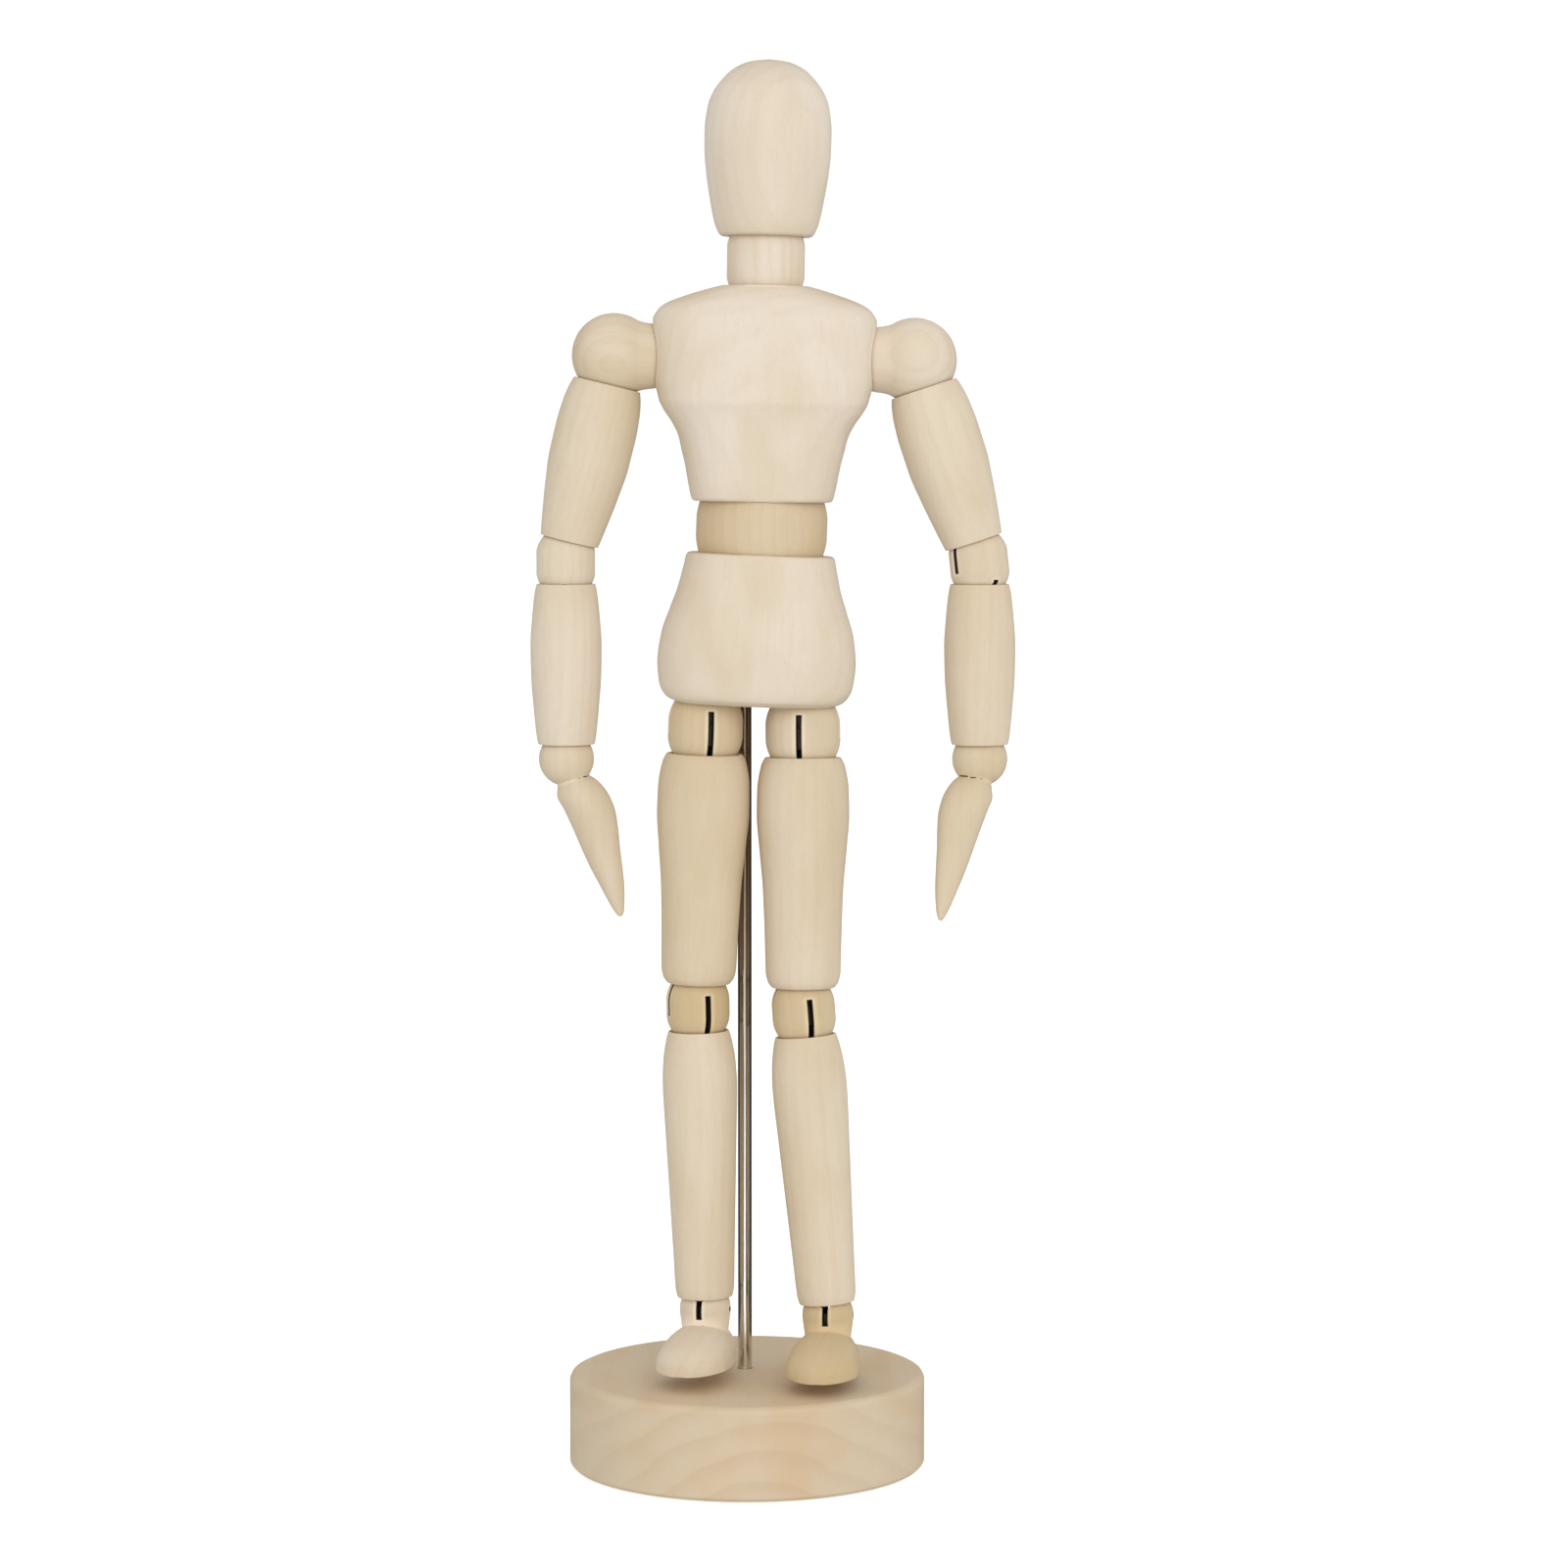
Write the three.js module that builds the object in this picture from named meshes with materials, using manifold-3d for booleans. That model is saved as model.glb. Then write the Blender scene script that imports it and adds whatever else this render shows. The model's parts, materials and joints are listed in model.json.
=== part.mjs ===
// Jointed wooden artist's mannequin, about 300 mm tall, on a round base with a steel support rod.
// Millimetres. +Z is up and the figure faces -Y. The origin is the centre of the base's underside.
// The limbs are strings of turned wooden pieces. A steel tension spring lies inside each long piece.
// Each end of a spring is an eye, which goes round a steel pin in the slot of a wooden ball.
import * as THREE from 'three';
import { mergeVertices } from 'three/addons/utils/BufferGeometryUtils.js';
import Module from 'manifold-3d';

const wasm = await Module();
wasm.setup();

// ---- Driving dimensions -------------------------------------------------------------------------
const GAP = 0.35;
const SIDES = 16;
const DEG = Math.PI / 180;

const BASE = { radius: 38.5, height: 20, edge: 1.4, holeDepth: 12, sides: 36 };
const ROD = { x: -0.5, y: 2.5, radius: 1.5, top: 183.8 };
const PIN = { radius: 0.5, sides: 6, reach: 0.6 };
const WIRE = 0.6;
const EYE = { inner: 0.85, outer: 1.25 };
const EYE_SIDES = 8;
const SADDLE = { inner: 2.15, outer: 2.75, shift: 0.7 };
const COIL = { outer: 1.7, inner: 1.1, sides: 8 };
const COIL_CLEAR = 1.2;
const BORE = 2.15;
const TRUNK_BORE = 2.9;
const CROSS_BORE = 3.2;
const SLOT = 1.2;
const HINGE_SLOT = 1.9;
const PIN_OFFSET = 1.4;
const NOTCH_DEPTH = 2.6;
const SWING = 58;
const WRIST_SWING = 50;

// Balls: dome radius about each pin, side radius, and the height on the ball at which each notch ends.
const HIP_BALL = { dome: 8, side: 8, lowerNotch: 4, upperNotch: -1.5, swing: SWING };
const KNEE_BALL = { dome: 6.78, side: 6.78, lowerNotch: 3.1, upperNotch: -1.5, swing: SWING };
const ELBOW_BALL = { dome: 6.35, side: 6.25, lowerNotch: null, upperNotch: -2.4, swing: 54 };
const SHOULDER = {
  dome: 9, spread: 31.9, height: 30.4, slot: 2.3, eyeShift: 0.55, inner: 12.1, fans: [20, 70], fanAngle: 40,
};
const WRIST = { dome: 5.9, below: 3.1 };
const ANKLE = { dome: 5.5, below: 2.6 };

// Long pieces. An outline gives radii at stations from 0 at the top rim to 1 at the bottom rim.
const UPPER_ARM = {
  length: 34.2, topDome: SHOULDER.dome, topPin: 6.3, bottomDome: ELBOW_BALL.dome, bottomPin: 3.2,
  outline: [
    [0, 7.2], [0.05, 7.75], [0.15, 8.35], [0.3, 8.65], [0.48, 8.6], [0.66, 8.0], [0.84, 7.15], [0.96, 6.5],
    [1, 6.25],
  ],
};
const FOREARM = {
  length: 34.2, topDome: ELBOW_BALL.dome, topPin: 3.2, bottomDome: WRIST.dome, bottomPin: WRIST.below,
  outline: [
    [0, 6.25], [0.05, 6.65], [0.2, 7.2], [0.38, 7.6], [0.56, 7.5], [0.78, 6.95], [0.96, 6.3], [1, 6.0],
  ],
};
const THIGH = {
  length: 49.3, topDome: HIP_BALL.dome, topPin: 4.05, bottomDome: KNEE_BALL.dome, bottomPin: 3.75,
  outline: [
    [0, 8.1], [0.03, 8.9], [0.14, 9.8], [0.25, 9.9], [0.4, 9.35], [0.58, 8.6], [0.8, 8.2], [0.93, 8.05],
    [0.975, 7.6], [1, 6.7],
  ],
};
const SHIN = {
  length: 57.7, topDome: KNEE_BALL.dome, topPin: 3.75, bottomDome: ANKLE.dome, bottomPin: ANKLE.below,
  outline: [
    [0, 6.5], [0.03, 7.0], [0.11, 7.75], [0.19, 8.0], [0.4, 7.6], [0.62, 7.1], [0.84, 6.6], [0.97, 6.3],
    [1, 5.9],
  ],
};

// Barrels of the waist and neck: dome radius about two centres, half above and half below the middle,
// side radius, and how far each centre lies beyond the rim that holds the dome.
const WAIST = { dome: 14, half: 1.05, side: 13.95, beyond: 4.55, sides: 20 };
const NECK = { dome: 8.35, half: 2.1, side: 8.25, beyond: 3.15, sides: 16 };

const PELVIS = { x: 1.8, y: -6, bottom: 165.3, height: 32.1, hipSpread: 10.4, pinHeight: 12.5, pinReach: 13 };
const CHEST = { height: 45.5 };
const HEAD = { pinHeight: 12, pinReach: 6 };

// Rest pose, in degrees. Tilts lean outward from vertical, the swing is forward, and a turn is about
// the piece's own axis. `way` is -1 on the figure's right and 1 on its left.
const LEAN = { pelvis: 2.2, chest: 0.9, head: 1 };
const POSE = {
  right: {
    way: -1, arm: 13.8, forearm: 0, thigh: 1.65, shin: -1.3, swing: 0,
    elbowTurn: 0, handTurn: 0, hipTurn: 10, kneeTurn: 21, footTurn: -15,
  },
  left: {
    way: 1, arm: 18.2, forearm: 0.2, thigh: 0.05, shin: 4.6, swing: 1.9,
    elbowTurn: 35, handTurn: 42, hipTurn: -7, kneeTurn: 13, footTurn: -8,
  },
};

// Carved pieces, from the bottom up: height, half width, front depth and back depth of each section
const CHEST_SECTIONS = [
  [0, 0, 0, 0], [0, 15.2, 14.2, 14.2], [3, 15.65, 14.6, 14.3], [8, 16.6, 15.1, 14.3],
  [12, 17.5, 15.6, 14.5], [16.3, 19.4, 16, 14.8], [20.7, 22.1, 17.2, 15.2], [25, 23.2, 16.5, 15.4],
  [31, 23.6, 15.4, 15.2], [38, 23.8, 14, 14], [40.6, 22.4, 12.8, 13], [42.7, 18.6, 11.6, 11.9],
  [44.6, 13, 9.8, 10.1], [45.5, 0, 0, 0],
];
const PELVIS_SECTIONS = [
  [0, 0, 0, 0], [0, 16.7, 11.2, 11.3], [1, 18.7, 12.6, 12.6], [4, 20.6, 14, 13.8], [9, 21.2, 15, 14.6],
  [15, 20.5, 15.4, 14.8], [20, 18.95, 15.3, 14.8], [25, 17.3, 14.9, 14.6], [29.8, 16.2, 14.5, 14.4],
  [32.1, 15.7, 14.3, 14.3], [32.1, 0, 0, 0],
];
const HEAD_SECTIONS = [
  [0, 0, 0, 0], [0, 9.95, 9.9, 10.2], [2.9, 11.1, 11.3, 12], [8, 12.15, 12.8, 13.8],
  [13, 12.95, 13.7, 14.9], [18, 13.4, 14, 15.6], [22, 13.45, 13.8, 15.5], [27.2, 12.85, 13, 14.7],
  [30.2, 11.75, 11.8, 13.3], [32.7, 10, 10, 11.2], [35.1, 7.5, 7.3, 8.3], [36.6, 4.2, 4.1, 4.6],
  [37.2, 0, 0, 0],
];
// Hand blade, from the tip up to the wrist ball. The fifth number is how far the section lies inward
// of the wrist, towards the body.
const HAND_SECTIONS = [
  [-34, 0, 0, 0, 11.4], [-33.2, 0.8, 0.7, 0.7, 11.2], [-31.5, 1.5, 1.4, 1.4, 10.8],
  [-27.4, 2.6, 2.4, 2.4, 9.7], [-23.2, 3.5, 3.2, 3.2, 8.4], [-19, 4.2, 3.9, 3.9, 7.2],
  [-14.8, 4.9, 4.7, 4.7, 6.1], [-10.7, 5.5, 5.4, 5.4, 4.8], [-8.6, 5.7, 5.5, 5.5, 3.8],
  [-6.4, 5.1, 5, 5, 3.1], [-4, 3.6, 3.6, 3.6, 2.1], [-2.4, 0, 0, 0, 1.2],
];
// Foot, from the heel forward to the toe: distance, half width, depth of the sole and height of the
// instep below and above a line under the ankle pin. The lower part is squarer.
const FOOT_SECTIONS = [
  [-8.3, 0, 0, 0], [-7.7, 2.9, 1.3, 3], [-6.2, 4.6, 1.5, 5], [-2.5, 6.2, 1.6, 6.6], [2.5, 7.2, 1.6, 7.2],
  [7, 7.8, 1.6, 6.8], [11, 7.7, 1.6, 5.8], [14.5, 6.7, 1.6, 4.6], [17.2, 5, 1.6, 3.3], [19, 2.9, 1.5, 1.9],
  [19.8, 0, 0, 0],
];
const FOOT_LINE = -9.85;
const ANKLE_NOTCH = 1.7;

const CREAM = 0xe2d6c4;
const HONEY = 0xdecdaa;
const BASE_WOOD = 0xd9c2a5;
const STEEL = 0x9c9a98;

// ---- Solids -------------------------------------------------------------------------------------
function solid(geometry) {
  geometry.deleteAttribute('normal');
  geometry.deleteAttribute('uv');
  const merged = mergeVertices(geometry, 1e-4);
  const index = Array.from(merged.index.array);
  const triVerts = [];
  for (let i = 0; i < index.length; i += 3) {
    const corners = index.slice(i, i + 3);
    if (new Set(corners).size === 3) triVerts.push(...corners);
  }
  return new wasm.Manifold(new wasm.Mesh({
    numProp: 3,
    vertProperties: new Float32Array(merged.attributes.position.array),
    triVerts: new Uint32Array(triVerts),
  }));
}

function join(...geometries) {
  return geometries.map(solid).reduce((whole, piece) => whole.add(piece));
}

function cut(body, ...tools) {
  return tools.reduce((left, tool) => left.subtract(solid(tool)), body);
}

function geometryOf(body) {
  const mesh = body.getMesh();
  const geometry = new THREE.BufferGeometry();
  geometry.setAttribute('position', new THREE.BufferAttribute(new Float32Array(mesh.vertProperties), 3));
  geometry.setIndex(Array.from(mesh.triVerts));
  return geometry;
}

// A piece turned about Z. Points are [radius, height] and go up the outside.
function turned(points, sides = SIDES) {
  const profile = points.map(([r, z]) => new THREE.Vector2(Math.max(r, 0), z));
  return new THREE.LatheGeometry(profile, sides).rotateX(Math.PI / 2);
}

// Points [radius, height] round the centre (0, centre). Angles are measured from straight up.
function arc(centre, radius, from, to, steps) {
  return Array.from({ length: steps + 1 }, (_, i) => {
    const angle = (from + (to - from) * i / steps) * DEG;
    return [radius * Math.sin(angle), centre + radius * Math.cos(angle)];
  });
}

// A piece carved from a stack of sections. Power 2 is an ellipse, and a higher power is squarer.
function carved(sections, power, sides = SIDES, lowerPower = power) {
  const geometry = turned(sections.map(([z, half]) => [half, z]), sides);
  const position = geometry.attributes.position;
  for (let i = 0; i < position.count; i += 1) {
    const [z, half, front, back, offset = 0] = sections[i % sections.length];
    const angle = 2 * Math.PI * Math.floor(i / sections.length) / sides;
    const [c, s] = [Math.cos(angle), Math.sin(angle)];
    const exponent = 2 / (s < 0 ? lowerPower : power);
    const x = half * Math.sign(c) * Math.abs(c) ** exponent;
    const y = (s < 0 ? front : back) * Math.sign(s) * Math.abs(s) ** exponent;
    position.setXYZ(i, offset + x, y, z);
  }
  return geometry;
}

function bar(radius, length, axis, sides = 10) {
  const geometry = new THREE.CylinderGeometry(radius, radius, length, sides);
  if (axis === 'x') return geometry.rotateZ(Math.PI / 2);
  if (axis === 'z') return geometry.rotateX(Math.PI / 2);
  return geometry;
}

// A bar between two positions on its own axis, through the given point.
function bore(radius, from, to, axis, x = 0, y = 0, z = 0) {
  const middle = (from + to) / 2;
  const shift = { x: [middle, 0, 0], y: [0, middle, 0], z: [0, 0, middle] }[axis];
  return bar(radius, Math.abs(to - from), axis).translate(x + shift[0], y + shift[1], z + shift[2]);
}

function block(low, high) {
  const size = high.map((value, i) => value - low[i]);
  const middle = high.map((value, i) => (value + low[i]) / 2);
  return new THREE.BoxGeometry(...size).translate(...middle);
}

function sphere(radius, z = 0, sides = SIDES) {
  return turned(arc(z, radius, 180, 0, 9), sides);
}

// ---- Features of the joints ---------------------------------------------------------------------

// Slot for a spring's eye, in the YZ plane. It opens downward from a pin at the origin.
function fan(width, halfAngle) {
  const side = EYE.outer + GAP;
  const far = 20;
  const [dx, dy] = [far * Math.sin(halfAngle * DEG), -far * Math.cos(halfAngle * DEG)];
  const corners = [[-side, side], [-side, 0], [-dx, dy], [dx, dy], [side, 0], [side, side]];
  const shape = new THREE.Shape(corners.map(([x, y]) => new THREE.Vector2(x, y)));
  const slab = new THREE.ExtrudeGeometry(shape, { depth: width, bevelEnabled: false });
  return slab.translate(0, 0, -width / 2).rotateX(Math.PI / 2).rotateZ(Math.PI / 2);
}

// Saw notches on both sides of a ball: in the YZ plane up to `height`, and turned over for the XZ plane.
function notches(side, height) {
  const inner = side - NOTCH_DEPTH;
  const outer = side + 2;
  return [[inner, outer], [-outer, -inner]].map(([low, high]) => (
    block([-SLOT / 2, low, -outer * 2], [SLOT / 2, high, height])));
}

function turnOver(geometry) {
  return geometry.rotateX(Math.PI).rotateZ(Math.PI / 2);
}

// A ball with two hinges: a lower pin along X and an upper pin along Y. Its middle is the origin.
function ballGeometry({ dome, side, lowerNotch, upperNotch, swing }) {
  const top = Math.asin(side / dome) / DEG;
  const lower = arc(-PIN_OFFSET, dome, 180, 180 - top, 3);
  const upper = arc(PIN_OFFSET, dome, top, 0, 3);
  const tools = [
    fan(SLOT, swing).translate(0, 0, -PIN_OFFSET),
    turnOver(fan(SLOT, swing)).translate(0, 0, PIN_OFFSET),
    bore(PIN.radius + GAP, -PIN.reach * side - GAP, side + 2, 'y', 0, 0, PIN_OFFSET),
    bore(PIN.radius + GAP, -PIN.reach * side - GAP, side + 2, 'x', 0, 0, -PIN_OFFSET),
  ];
  if (lowerNotch !== null) tools.push(...notches(side, lowerNotch));
  if (upperNotch !== null) tools.push(...notches(side, -upperNotch).map(turnOver));
  return geometryOf(cut(solid(turned([...lower, ...upper])), ...tools));
}

// Distance between the pins above and below a long piece
function reach(piece) {
  return piece.topPin + piece.length + piece.bottomPin;
}

// A long piece hanging below the pin above it, which is the origin. It has a dished socket at each
// end and a bore for its spring.
function longGeometry(piece) {
  const topSocket = piece.topDome + GAP;
  const lowSocket = piece.bottomDome + GAP;
  const edge = (radius, height) => Math.acos(height / radius) / DEG;
  const hole = (radius) => Math.asin(BORE / radius) / DEG;
  const outside = piece.outline.map(([t, r]) => [r, -piece.topPin - t * piece.length]).reverse();
  const top = arc(0, topSocket, 180 - edge(topSocket, piece.topPin), 180 - hole(topSocket), 2);
  const bottom = arc(-reach(piece), lowSocket, hole(lowSocket), edge(lowSocket, piece.bottomPin), 2);
  return turned([...outside, ...top, ...bottom, outside[0]]);
}

function pinGeometry(side, axis) {
  return bar(PIN.radius, 2 * PIN.reach * side, axis, PIN.sides);
}

// ---- Springs ------------------------------------------------------------------------------------
function ring(inner, outer, width, sides) {
  const half = width / 2;
  return turned([[inner, -half], [outer, -half], [outer, half], [inner, half], [inner, -half]], sides);
}

function turnTo(geometry, axis) {
  return axis === 'x' ? geometry.rotateY(Math.PI / 2) : geometry.rotateX(Math.PI / 2);
}

// One end of a spring: an eye, its shank and the bar across the end of the coils.
function hook(eye, z, axis, coilEnd, shift) {
  const way = Math.sign(coilEnd - z);
  const half = WIRE / 2;
  const across = COIL.outer - 0.25;
  const span = [z + way * (eye.outer - 0.2), coilEnd + way * WIRE].sort((a, b) => a - b);
  const depth = [coilEnd, coilEnd + way * WIRE].sort((a, b) => a - b);
  const [x, y] = axis === 'x' ? [shift, 0] : [0, shift];
  const shank = block([x - half, y - half, span[0]], [x + half, y + half, span[1]]);
  const bridge = axis === 'x'
    ? block([shift - half, -across, depth[0]], [shift + half, across, depth[1]])
    : block([-across, shift - half, depth[0]], [across, shift + half, depth[1]]);
  const loop = turnTo(ring(eye.inner, eye.outer, WIRE, EYE_SIDES), axis).translate(x, y, z);
  return [loop, shank, bridge];
}

// A close-wound tension spring about Z, between two hooks. The coils are one sleeve.
function springGeometry(low, high) {
  const coils = ring(COIL.inner, COIL.outer, high.coil - low.coil, COIL.sides);
  coils.translate(0, 0, (high.coil + low.coil) / 2);
  const hooks = [low, high].flatMap(({ eye = EYE, z, axis, coil, shift = 0, turn = 0 }) => (
    hook(eye, z, axis, coil, shift).map((piece) => piece.rotateZ(turn * DEG))));
  return geometryOf(join(coils, ...hooks));
}

// The spring of a long piece. Each end says its pin's axis, and how far that pin is turned or offset.
function longSpring(piece, top, bottom) {
  const foot = -reach(piece);
  const high = { z: 0, coil: -piece.topDome - COIL_CLEAR, ...top };
  const low = { z: foot, coil: foot + piece.bottomDome + COIL_CLEAR, ...bottom };
  return springGeometry(low, high);
}

// ---- Scene graph --------------------------------------------------------------------------------
const FINISH = {
  cream: { color: CREAM, roughness: 0.62, metalness: 0 },
  honey: { color: HONEY, roughness: 0.58, metalness: 0 },
  base: { color: BASE_WOOD, roughness: 0.66, metalness: 0 },
  steel: { color: STEEL, roughness: 0.22, metalness: 1 },
};

function add(group, name, geometry, finish) {
  const mesh = new THREE.Mesh(geometry, new THREE.MeshStandardMaterial(FINISH[finish]));
  mesh.name = name;
  group.add(mesh);
  return mesh;
}

// A nested group, turned about Z, then leaned about its own Y and pitched about its own X.
function place(parent, x, y, z, lean = 0, turn = 0, pitch = 0) {
  const group = new THREE.Group();
  group.position.set(x, y, z);
  group.rotation.set(pitch * DEG, lean * DEG, turn * DEG, 'ZYX');
  parent.add(group);
  return group;
}

function addStand(mannequin) {
  const { radius, height, edge, holeDepth, sides } = BASE;
  const profile = [
    [0, 0], [radius - edge * 0.5, 0], [radius, edge * 0.5], [radius, height - edge],
    [radius - edge * 0.35, height - edge * 0.35], [radius - edge, height], [0, height],
  ];
  const hole = bore(ROD.radius + GAP, height - holeDepth, height + 1, 'z', ROD.x, ROD.y);
  add(mannequin, 'base_disc', geometryOf(cut(solid(turned(profile, sides)), hole)), 'base');
  const bottom = height - holeDepth + GAP;
  add(mannequin, 'support_rod', bore(ROD.radius, bottom, ROD.top, 'z', ROD.x, ROD.y), 'steel');
}

function pelvisGeometry() {
  const { height, hipSpread, pinHeight, pinReach } = PELVIS;
  const holes = [-hipSpread, hipSpread].flatMap((x) => [
    sphere(HIP_BALL.dome + GAP, -THIGH.topPin).translate(x, 0, 0),
    bore(BORE, 0, pinHeight + 2, 'z', x),
  ]);
  const rodAt = [ROD.x - PELVIS.x, ROD.y - PELVIS.y];
  const rodHole = bore(ROD.radius + GAP, -5, ROD.top - PELVIS.bottom + GAP, 'z', ...rodAt);
  return geometryOf(cut(
    solid(carved(PELVIS_SECTIONS, 2.5, 20)),
    ...holes,
    rodHole.rotateY(-LEAN.pelvis * DEG),
    sphere(WAIST.dome + GAP, height + WAIST.beyond, WAIST.sides),
    bore(TRUNK_BORE, pinHeight - 2, height, 'z'),
    bore(PIN.radius + GAP, -30, pinReach + GAP, 'x', 0, 0, pinHeight),
  ));
}

// A barrel with a dome at each end, bored through for its spring. Its middle is the origin.
function barrelGeometry({ dome, half, side, sides }) {
  const wide = Math.asin(side / dome) / DEG;
  const hole = Math.asin(TRUNK_BORE / dome) / DEG;
  const lower = arc(-half, dome, 180 - hole, 180 - wide, 4);
  const upper = arc(half, dome, wide, hole, 4);
  return turned([...lower, ...upper, lower[0]], sides);
}

// Outline of the shoulder ball about its own axis, from its outer end in towards the chest.
function shoulderProfile(grow = 0) {
  const outer = arc(0, SHOULDER.dome + grow, 180, 55, 6);
  const inner = [[7.15, 6.4], [6.95, 8.3], [6.3, 9.7], [4.6, 11.1], [2.6, 11.8]]
    .map(([r, u]) => [r + grow, u + grow * 0.5]);
  return [...outer, ...inner, [0, SHOULDER.inner + grow]];
}

// Lays a piece made along Z on its side, with +Z turned to the side that `way` gives.
function sideways(geometry, way) {
  return geometry.rotateY(way * Math.PI / 2);
}

// The ball of one shoulder. Its pin is the origin, and `way` is -1 on the right side and 1 on the left.
function shoulderGeometry(way) {
  const slots = SHOULDER.fans.map((outward) => (
    fan(SHOULDER.slot, SHOULDER.fanAngle).rotateZ(Math.PI / 2).rotateY(-way * outward * DEG)));
  return geometryOf(cut(
    solid(sideways(turned(shoulderProfile()), -way)),
    ...slots,
    bore(PIN.radius + GAP, -PIN.reach * SHOULDER.dome - GAP, 12, 'y'),
    block([way > 0 ? -15 : 0, -SHOULDER.slot / 2, -EYE.outer - GAP],
      [way > 0 ? 0 : 15, SHOULDER.slot / 2, EYE.outer + GAP]),
  ));
}

function chestGeometry() {
  const { height, spread } = SHOULDER;
  const seats = [-1, 1].map((way) => (
    sideways(turned(shoulderProfile(GAP)), -way).translate(way * spread, 0, height)));
  return geometryOf(cut(
    solid(carved(CHEST_SECTIONS, 2.7, 20)),
    ...seats,
    bore(CROSS_BORE, -spread + SHOULDER.inner, spread - SHOULDER.inner, 'x', 0, 0, height),
    sphere(WAIST.dome + GAP, -WAIST.beyond, WAIST.sides),
    sphere(NECK.dome + GAP, CHEST.height + NECK.beyond, NECK.sides),
    bore(TRUNK_BORE, 5, CHEST.height, 'z'),
  ));
}

function headGeometry() {
  return geometryOf(cut(
    solid(carved(HEAD_SECTIONS, 2, 16)),
    sphere(NECK.dome + GAP, -NECK.beyond, NECK.sides),
    bore(TRUNK_BORE, 0, HEAD.pinHeight + 2, 'z'),
    bore(PIN.radius + GAP, -HEAD.pinReach - GAP, 20, 'y', 0, 0, HEAD.pinHeight),
  ));
}

function addTrunk(mannequin) {
  const pelvis = place(mannequin, PELVIS.x, PELVIS.y, PELVIS.bottom, LEAN.pelvis);
  add(pelvis, 'pelvis', pelvisGeometry(), 'cream');
  const pelvisPin = pinGeometry(PELVIS.pinReach / PIN.reach, 'x').translate(0, 0, PELVIS.pinHeight);
  add(pelvis, 'pelvis_pin', pelvisPin, 'steel');

  const waist = place(pelvis, 0, 0, PELVIS.height + WAIST.beyond + WAIST.half);
  add(waist, 'waist_barrel', barrelGeometry(WAIST), 'honey');
  const chest = place(waist, 0, 0, WAIST.half, LEAN.chest - LEAN.pelvis);
  chest.translateZ(WAIST.beyond);
  add(chest, 'chest', chestGeometry(), 'cream');

  const neck = place(chest, 0, 0, CHEST.height + NECK.beyond + NECK.half);
  add(neck, 'neck_barrel', barrelGeometry(NECK), 'honey');
  const head = place(neck, 0, 0, NECK.half, LEAN.head - LEAN.chest);
  head.translateZ(NECK.beyond);
  add(head, 'head', headGeometry(), 'cream');
  const headPin = pinGeometry(HEAD.pinReach / PIN.reach, 'y').translate(0, 0, HEAD.pinHeight);
  add(head, 'head_pin', headPin, 'steel');
  return { pelvis, chest, head };
}

// The waist and neck springs both hook over the middle of the shoulder spring, side by side.
function addTrunkSprings(mannequin, { pelvis, chest, head }) {
  const { spread, height, eyeShift } = SHOULDER;
  const far = spread - SHOULDER.inner - COIL_CLEAR;
  const side = (sign) => ({ z: sign * spread, coil: sign * far, axis: 'y', shift: eyeShift });
  const across = springGeometry(side(-1), side(1)).rotateY(Math.PI / 2).translate(0, 0, height);
  add(chest, 'shoulder_spring', across, 'steel');
  const saddle = (shift) => ({ eye: SADDLE, axis: 'x', shift });
  const clear = SADDLE.outer + COIL_CLEAR;
  const low = { at: [pelvis, PELVIS.pinHeight], coil: EYE.outer + COIL_CLEAR, axis: 'x' };
  const middle = { at: [chest, height], coil: clear };
  addSpanningSpring(mannequin, 'waist_spring', low, { ...middle, ...saddle(-SADDLE.shift) });
  const high = { at: [head, HEAD.pinHeight], coil: EYE.outer + COIL_CLEAR, axis: 'y' };
  addSpanningSpring(mannequin, 'neck_spring', { ...middle, ...saddle(SADDLE.shift) }, high);
}

// A spring between two heights on the axes of two groups, given as [group, height].
function addSpanningSpring(mannequin, name, low, high) {
  const ends = [low, high].map(({ at: [group, height] }) => (
    group.localToWorld(new THREE.Vector3(0, 0, height))));
  const along = ends[1].clone().sub(ends[0]);
  const length = along.length();
  const geometry = springGeometry(
    { ...low, z: 0 },
    { ...high, z: length, coil: length - high.coil },
  );
  const mesh = add(mannequin, name, geometry, 'steel');
  mesh.position.copy(ends[0]);
  mesh.quaternion.setFromUnitVectors(new THREE.Vector3(0, 0, 1), along.normalize());
}

// A ball with its two pins, hung at `at` in the piece above and turned about that piece's axis. It
// rocks on its upper pin, and the next piece swings on its lower pin, until that piece points along
// `direction`. Returns the next piece's group, whose origin is the lower pin.
function addBall(parent, name, shape, at, turn, direction) {
  const facing = place(parent, ...at, 0, turn);
  const aim = direction.clone().applyQuaternion(facing.getWorldQuaternion(new THREE.Quaternion()).invert());
  const ball = place(facing, 0, 0, 0, Math.atan2(-aim.x, -aim.z) / DEG);
  add(ball, `${name}_ball`, ballGeometry(shape).translate(0, 0, -PIN_OFFSET), 'honey');
  add(ball, `${name}_upper_pin`, pinGeometry(shape.side, 'y'), 'steel');
  const lowerPin = pinGeometry(shape.side, 'x').translate(0, 0, -2 * PIN_OFFSET);
  add(ball, `${name}_lower_pin`, lowerPin, 'steel');
  const swung = place(ball, 0, 0, -2 * PIN_OFFSET, 0, 0, Math.asin(aim.y) / DEG);
  return place(swung, 0, 0, 0, 0, -turn);
}

// The way a hanging piece points when it is tilted outward and swung forward
function pointing(way, outward, swing = 0) {
  const [o, f] = [outward * DEG, swing * DEG];
  return new THREE.Vector3(way * Math.sin(o) * Math.cos(f), -Math.sin(f), -Math.cos(o) * Math.cos(f));
}

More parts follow.
